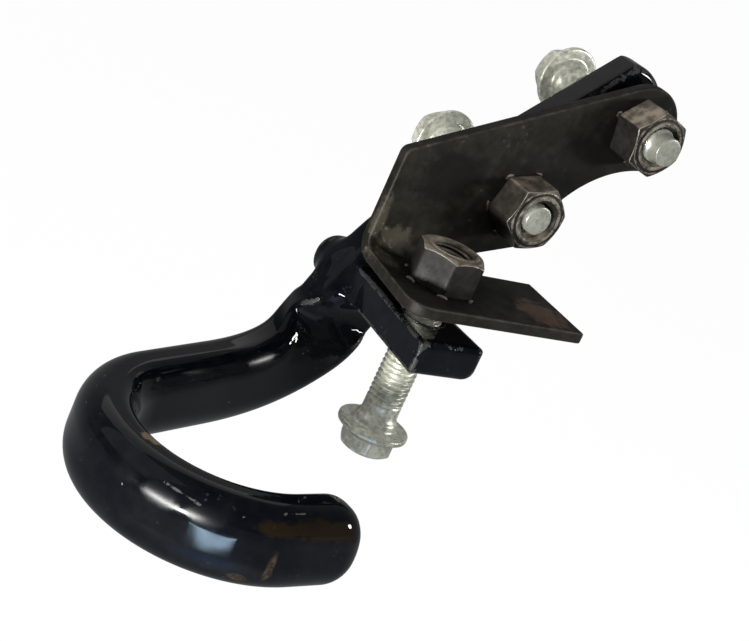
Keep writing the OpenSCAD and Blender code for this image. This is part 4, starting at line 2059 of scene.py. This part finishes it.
@dataclass(frozen=True)
class NutCoat:
    """Dark coat on a nut, worn to grey steel on its edges, lighter and beige where it faces up."""

    base: Colour = (0.0065, 0.0060, 0.0052)
    light: Colour = (0.0145, 0.0135, 0.012)
    up_facing_tint: Colour = (0.19, 0.160, 0.125)
    bare: Colour = (0.36, 0.32, 0.26)
    roughness: float = 0.4
    roughness_range: float = 0.2
    worn_roughness: float = 0.42
    specular: float = 0.13

    def build(self, effects: Effects) -> bpy.types.Material:
        """Builds the coat.

        Args:
            effects: The shared effects.

        Returns:
            The material.
        """
        t = Finish("nut_worn_coat")
        skin = t.effect(effects.forged_skin, Scale=110.0)
        edge = t.mask(
            effects.edge_wear, Edge=t.stored("edge"), Scale=380.0, Reach=0.42, Hardness=0.4
        )
        lines = t.mask(
            effects.scratches, Turn=(0.6, 0.2, 0.4), Scale=160.0, Stretch=20.0, Density=0.25
        )
        normal = t.add("ShaderNodeNewGeometry").outputs["Normal"]
        up = t.add("ShaderNodeSeparateXYZ", {0: normal}).outputs["Z"]
        up_facing_share = t.patches(210.0, 5.0, 0.6, (0.35, 0.65), (0.25, 0.9))
        colour = t.mix(t.spread(skin["Tone"], 0.36, 0.66), self.base, self.light)
        # Lighter beige tint on faces that point up, in noisy patches.
        colour = t.tint(colour, t.spread(up, 0.15, 0.8), up_facing_share, self.up_facing_tint)
        colour = t.tint(colour, lines, 0.35, self.bare)
        colour = t.tint(colour, edge, 0.6, self.bare)
        rough = (self.roughness, self.roughness + self.roughness_range)
        coat = t.patches(120.0, 4.0, 0.55, (0.3, 0.7), rough)
        t.relief(skin["Height"], 0.5, 0.0004)
        return t.dress(
            Base_Color=colour,
            Metallic=t.times(edge, 0.5),
            Roughness=t.blend(edge, coat, self.worn_roughness),
            Specular_IOR_Level=self.specular,
        )


@dataclass(frozen=True)
class ZincPlate:
    """Satin zinc with a slight green cast, handled and dulled, most of all at the points."""

    base: Colour = (0.68, 0.69, 0.60)
    dull: Colour = (0.33, 0.33, 0.275)
    grime: Colour = (0.06, 0.058, 0.045)
    roughness: float = 0.27
    roughness_range: float = 0.16
    metallic: float = 0.5

    def build(self, effects: Effects) -> bpy.types.Material:
        """Builds the plating.

        Args:
            effects: The shared effects.

        Returns:
            The material.
        """
        t = Finish("bolt_satin_zinc")
        skin = t.effect(effects.forged_skin, Scale=140.0)
        dots = t.mask(effects.speckle, Scale=1100.0, Amount=0.2)
        lines = t.mask(
            effects.scratches, Turn=(0.8, 0.1, 0.3), Scale=200.0, Stretch=18.0, Density=0.2
        )
        place = t.add("ShaderNodeSeparateXYZ", {0: t.where}).outputs
        past_nut = t.spread(place["Y"], -0.0150, -0.0170)
        in_row = t.spread(place["Z"], -0.012, -0.008)
        colour = t.mix(t.spread(skin["Tone"], 0.36, 0.66), self.base, self.dull)
        colour = t.tint(colour, t.times(past_nut, in_row), 0.75, darker(self.dull, 0.5))
        colour = t.tint(colour, dots, 0.6, self.grime)
        colour = t.tint(colour, lines, 0.4, self.grime)
        rough = (self.roughness, self.roughness + self.roughness_range)
        t.relief(skin["Height"], 0.4, 0.00025)
        return t.dress(
            Base_Color=colour,
            Metallic=self.metallic,
            Roughness=t.patches(260.0, 4.0, 0.55, (0.3, 0.7), rough),
        )


# ------------------------------------------------------------------ studio


@dataclass(frozen=True)
class SoftLamp:
    """A soft lamp aimed at the bracket, in metres and watts."""

    name: str
    at: Point
    aim: Point
    size: tuple[float, float]
    power: float
    colour: Colour

    def build(self) -> None:
        """Adds the lamp."""
        light = bpy.data.lights.new(self.name, "AREA")
        light.shape = "RECTANGLE"
        light.size, light.size_y = self.size
        light.energy = self.power
        light.color = self.colour
        obj = link(self.name, light)
        obj.location = self.at
        ahead = Vector(self.aim) - Vector(self.at)
        obj.rotation_euler = ahead.to_track_quat("-Z", "Y").to_euler()


BEND, THROAT, ROW = (-0.125, -0.07, -0.08), (-0.066, 0.004, -0.07), (-0.01, 0.0, 0.0)
LAMPS = (
    SoftLamp("ridge_lamp", (-0.70, -0.43, -0.20), BEND, (0.5, 0.09), 15.0, (1.0, 1.0, 0.97)),
    SoftLamp("blue_lamp", (-0.36, -0.57, -0.366), BEND, (0.36, 0.008), 0.32, (0.55, 0.78, 1.0)),
    SoftLamp("throat_lamp", (0.90, -0.63, 0.27), THROAT, (0.20, 0.15), 6.5, (1.0, 1.0, 0.98)),
    SoftLamp("back_lamp", (0.2, 1.3, 1.6), ROW, (2.0, 1.4), 5.0, (1.0, 0.99, 0.95)),
    SoftLamp("left_lamp", (-1.2, 0.35, 0.95), ROW, (1.6, 1.4), 3.0, (1.0, 0.99, 0.96)),
)


@dataclass(frozen=True)
class Studio:
    """Camera, lamps, backdrop and floor, in metres."""

    camera_at: Point = (-0.3975, -0.4333, 0.1471)
    right: Point = (0.783, -0.484, 0.391)
    down: Point = (0.123, -0.496, -0.860)
    lens: float = 89.78
    sensor: float = 36.0
    clip: tuple[float, float] = (0.01, 60.0)
    lamps: tuple[SoftLamp, ...] = LAMPS
    white: Colour = (1.0, 1.0, 1.0)
    backdrop_dir: Point = (0.65, 0.76, 0.0)
    backdrop_from: tuple[float, float] = (-0.2, 0.8)
    world_light: float = 0.8
    room_mirrored: float = 0.07
    backdrop_mirrored: float = 0.24
    # A blue patch on the floor that glows only for reflected rays and is no lamp; it puts a blue
    # glow into the hook's reflections.
    glow_patch_at: Point = (-0.23, -0.43, -0.40)
    glow_patch_r: float = 0.36
    glow_patch_core: float = 0.04
    blue_glow: Colour = (0.34, 0.58, 1.0)
    blue_glow_strength: float = 2.4
    blue_glow_mirrored: float = 0.9
    floor_mirrored: float = 0.15
    floor_shown: float = 0.92
    floor_z: float = -0.40
    floor_size: float = 12.0
    floor_roughness: float = 0.9
    paper: tuple[Colour, Colour] = ((0.86, 0.86, 0.86), (0.9, 0.9, 0.9))
    paper_lit: Colour = (0.13, 0.135, 0.14)

    def build(self) -> None:
        """Builds the studio."""
        self._camera()
        self._world()
        self._floor()
        for lamp in self.lamps:
            lamp.build()

    def _camera(self) -> None:
        """Sets the camera at the photograph's viewpoint."""
        data = bpy.data.cameras.new("camera")
        data.sensor_fit, data.sensor_width, data.lens = "HORIZONTAL", self.sensor, self.lens
        data.clip_start, data.clip_end = self.clip
        x = Vector(self.right).normalized()
        y = -Vector(self.down).normalized()
        z = x.cross(y).normalized()
        turn = Matrix((x, z.cross(x), z)).transposed().to_4x4()
        obj = link("camera", data)
        obj.matrix_world = Matrix.Translation(Vector(self.camera_at)) @ turn
        bpy.context.scene.camera = obj
        bpy.context.scene.view_settings.view_transform = "Standard"

    @staticmethod
    def _seen(t: Tree, lit: Feed, mirrored: Feed) -> Socket:
        """Gives each kind of ray its strength.

        Args:
            t: Tree of the backdrop or the floor.
            lit: Strength for rays that light the object.
            mirrored: Strength for reflections.

        Returns:
            That strength, with one for rays that show the backdrop.
        """
        path = t.add("ShaderNodeLightPath").outputs
        shown = t.most(path["Is Camera Ray"], path["Is Transmission Ray"])
        return t.blend(shown, t.blend(path["Is Glossy Ray"], lit, mirrored), 1.0)

    def _world(self) -> None:
        """Makes a white backdrop that lights softly, with a dim room on the camera's side."""
        world = bpy.data.worlds.new("backdrop")
        bpy.context.scene.world = world
        world.use_nodes = True
        t = Tree(world.node_tree)
        way = t.add("ShaderNodeTexCoord").outputs["Generated"]
        ahead = t.vector("DOT_PRODUCT", way, self.backdrop_dir)
        strengths = (self.room_mirrored, self.backdrop_mirrored)
        mirrored = t.spread(ahead, *self.backdrop_from, *strengths)
        ground = t.main("BACKGROUND")
        t.put(ground.inputs["Color"], self.white)
        t.put(ground.inputs["Strength"], self._seen(t, self.world_light, mirrored))

    def _floor(self) -> None:
        """Makes the pale floor, which keeps a soft shadow and carries a blue patch that glows only
        in reflections, a glow that is no lamp.
        """
        h, z = self.floor_size / 2 / MM, self.floor_z / MM
        corners = np.array([[-h, -h, z], [h, -h, z], [h, h, z], [-h, h, z]])
        floor = add_mesh("floor", corners, [[0, 1, 2, 3]])
        t = Finish("floor_white")
        shown = t.mix(t.noise(t.where, 3.0), *self.paper)
        t.dress(
            Base_Color=t.mix(self._seen(t, 0.0, 0.0), self.paper_lit, shown),
            Roughness=self.floor_roughness,
            Specular_IOR_Level=0.0,
        )
        # The blue patch glows only for glossy rays, a glow that is no lamp, seen in the hook as a
        # blue reflection.
        away = t.vector("DISTANCE", t.where, self.glow_patch_at)
        patch = t.spread(away, self.glow_patch_r, self.glow_patch_core)
        blue_glow = t.times(patch, t.add("ShaderNodeLightPath").outputs["Is Glossy Ray"])
        colour, strength = t.mix(blue_glow, self.white, self.blue_glow), t.blend(blue_glow, 1.0, self.blue_glow_strength)
        glow = t.add("ShaderNodeEmission", {"Color": colour, "Strength": strength})
        mirrored = t.blend(patch, self.floor_mirrored, self.blue_glow_mirrored)
        share = t.times(self._seen(t, 0.0, mirrored), self.floor_shown)
        inputs = {0: share, 1: t.shader.outputs[0], 2: glow.outputs[0]}
        join = t.add("ShaderNodeMixShader", inputs)
        t.put(t.main("OUTPUT_MATERIAL").inputs["Surface"], join.outputs[0])
        floor.data.materials.append(t.material)


# ------------------------------------------------------------------ the bracket


@dataclass
class TowHookBracket:
    """The whole bracket: hook, plate, nuts, welds and bolts."""

    layout: Layout = field(default_factory=Layout)
    rear_nut_turn: float = 41.0
    middle_nut_turn: float = 14.0
    lower_nut_turn: float = 2.0
    chips: tuple[Chip, ...] = (
        Chip((-129.4, -49.4, -73.2), 3.0),
        Chip((-127.8, -51.4, -73.6), 3.4),
        Chip((-140.9, -46.0, -80.7), 0.5),
        Chip((-137.7, -58.3, -83.4), 0.6),
        Chip((-72.0, -0.4, -85.8), 0.8),
    )

    def build(self) -> None:
        """Builds every piece in order."""
        effects = Effects()
        paint = HookPaint().build(effects)
        coat = PlateCoat().build(effects)
        nut = NutCoat().build(effects)
        zinc = ZincPlate().build(effects)
        ForgedHook(self.layout, chips=self.chips).build(paint)
        NutPlate(self.layout).build(coat)
        for item in (*self.nuts(), *self.welds()):
            item.build(nut)
        for item in self.bolts():
            item.build(zinc)

    def _seats(self) -> list[tuple[Facing, Point, float]]:
        """Finds the nuts' places.

        Returns:
            Facing, foot and turn of the rear, the middle and the lower nut.
        """
        lay = self.layout
        return [
            (Facing.INBOARD, (lay.rear[0], -lay.plate_t, lay.rear[2]), self.rear_nut_turn),
            (Facing.INBOARD, (0.0, -lay.plate_t, 0.0), self.middle_nut_turn),
            (Facing.UP, tuple(lay.lower), self.lower_nut_turn),
        ]

    def nuts(self) -> list[WeldNut]:
        """Lists the three nuts.

        Returns:
            The nuts.
        """
        sizes = (self.layout.nut_af, self.layout.nut_h)
        shown = (("rear", 0.0), ("middle", 3.0), ("lower", 6.0))
        return [
            WeldNut(f"{side}_nut", f"{side}_weld_nut", *seat, depth, *sizes)
            for (side, depth), seat in zip(shown, self._seats())
        ]

    def welds(self) -> list[WeldBeads]:
        """Lists the weld lumps at each nut's foot.

        Returns:
            The lumps, nut by nut.
        """
        rear, middle, lower = self._seats()
        af = self.layout.nut_af
        at_rear = ((0, 1.1), (120, 1.0), (240, 1.1))
        at_middle = ((0, 1.1), (60, 0.9), (120, 1.0), (180, 1.1), (240, 1.0))
        at_lower = ((0, 1.0), (60, 0.9), (120, 1.0), (180, 1.2), (240, 1.1), (300, 1.0))
        return [
            WeldBeads("rear_weld", *rear, af, at_rear, seed=3),
            WeldBeads("middle_weld", *middle, af, at_middle, seed=5),
            WeldBeads("lower_weld", *lower, af, at_lower, seed=8),
        ]

    def bolts(self) -> list[FlangeBolt]:
        """Lists the three bolts, placed by their bearing faces.

        Returns:
            The bolts.
        """
        lay = self.layout
        nut_top = -lay.plate_t - lay.nut_h
        rear_y = nut_top - lay.rear_bolt_proud + lay.bolt_len
        lower_z = lay.lower[2] + lay.nut_h - lay.lower_bolt_shy - lay.bolt_len
        places = (
            ("rear", Facing.INBOARD, (lay.rear[0], rear_y, lay.rear[2]), 10.0),
            ("middle", Facing.INBOARD, (0.0, nut_top + lay.bolt_len, 0.0), 24.0),
            ("lower", Facing.UP, (lay.lower[0], lay.lower[1], lower_z), 0.0),
        )
        return [
            FlangeBolt(f"{side}_bolt", f"{side}_flange_bolt", facing, at, turn, lay.bolt_len)
            for side, facing, at, turn in places
        ]


def main() -> None:
    """Builds the bracket and its studio."""
    logging.basicConfig(level=logging.INFO, format="%(name)s: %(message)s")
    TowHookBracket().build()
    Studio().build()


if __name__ == "__main__":
    main()
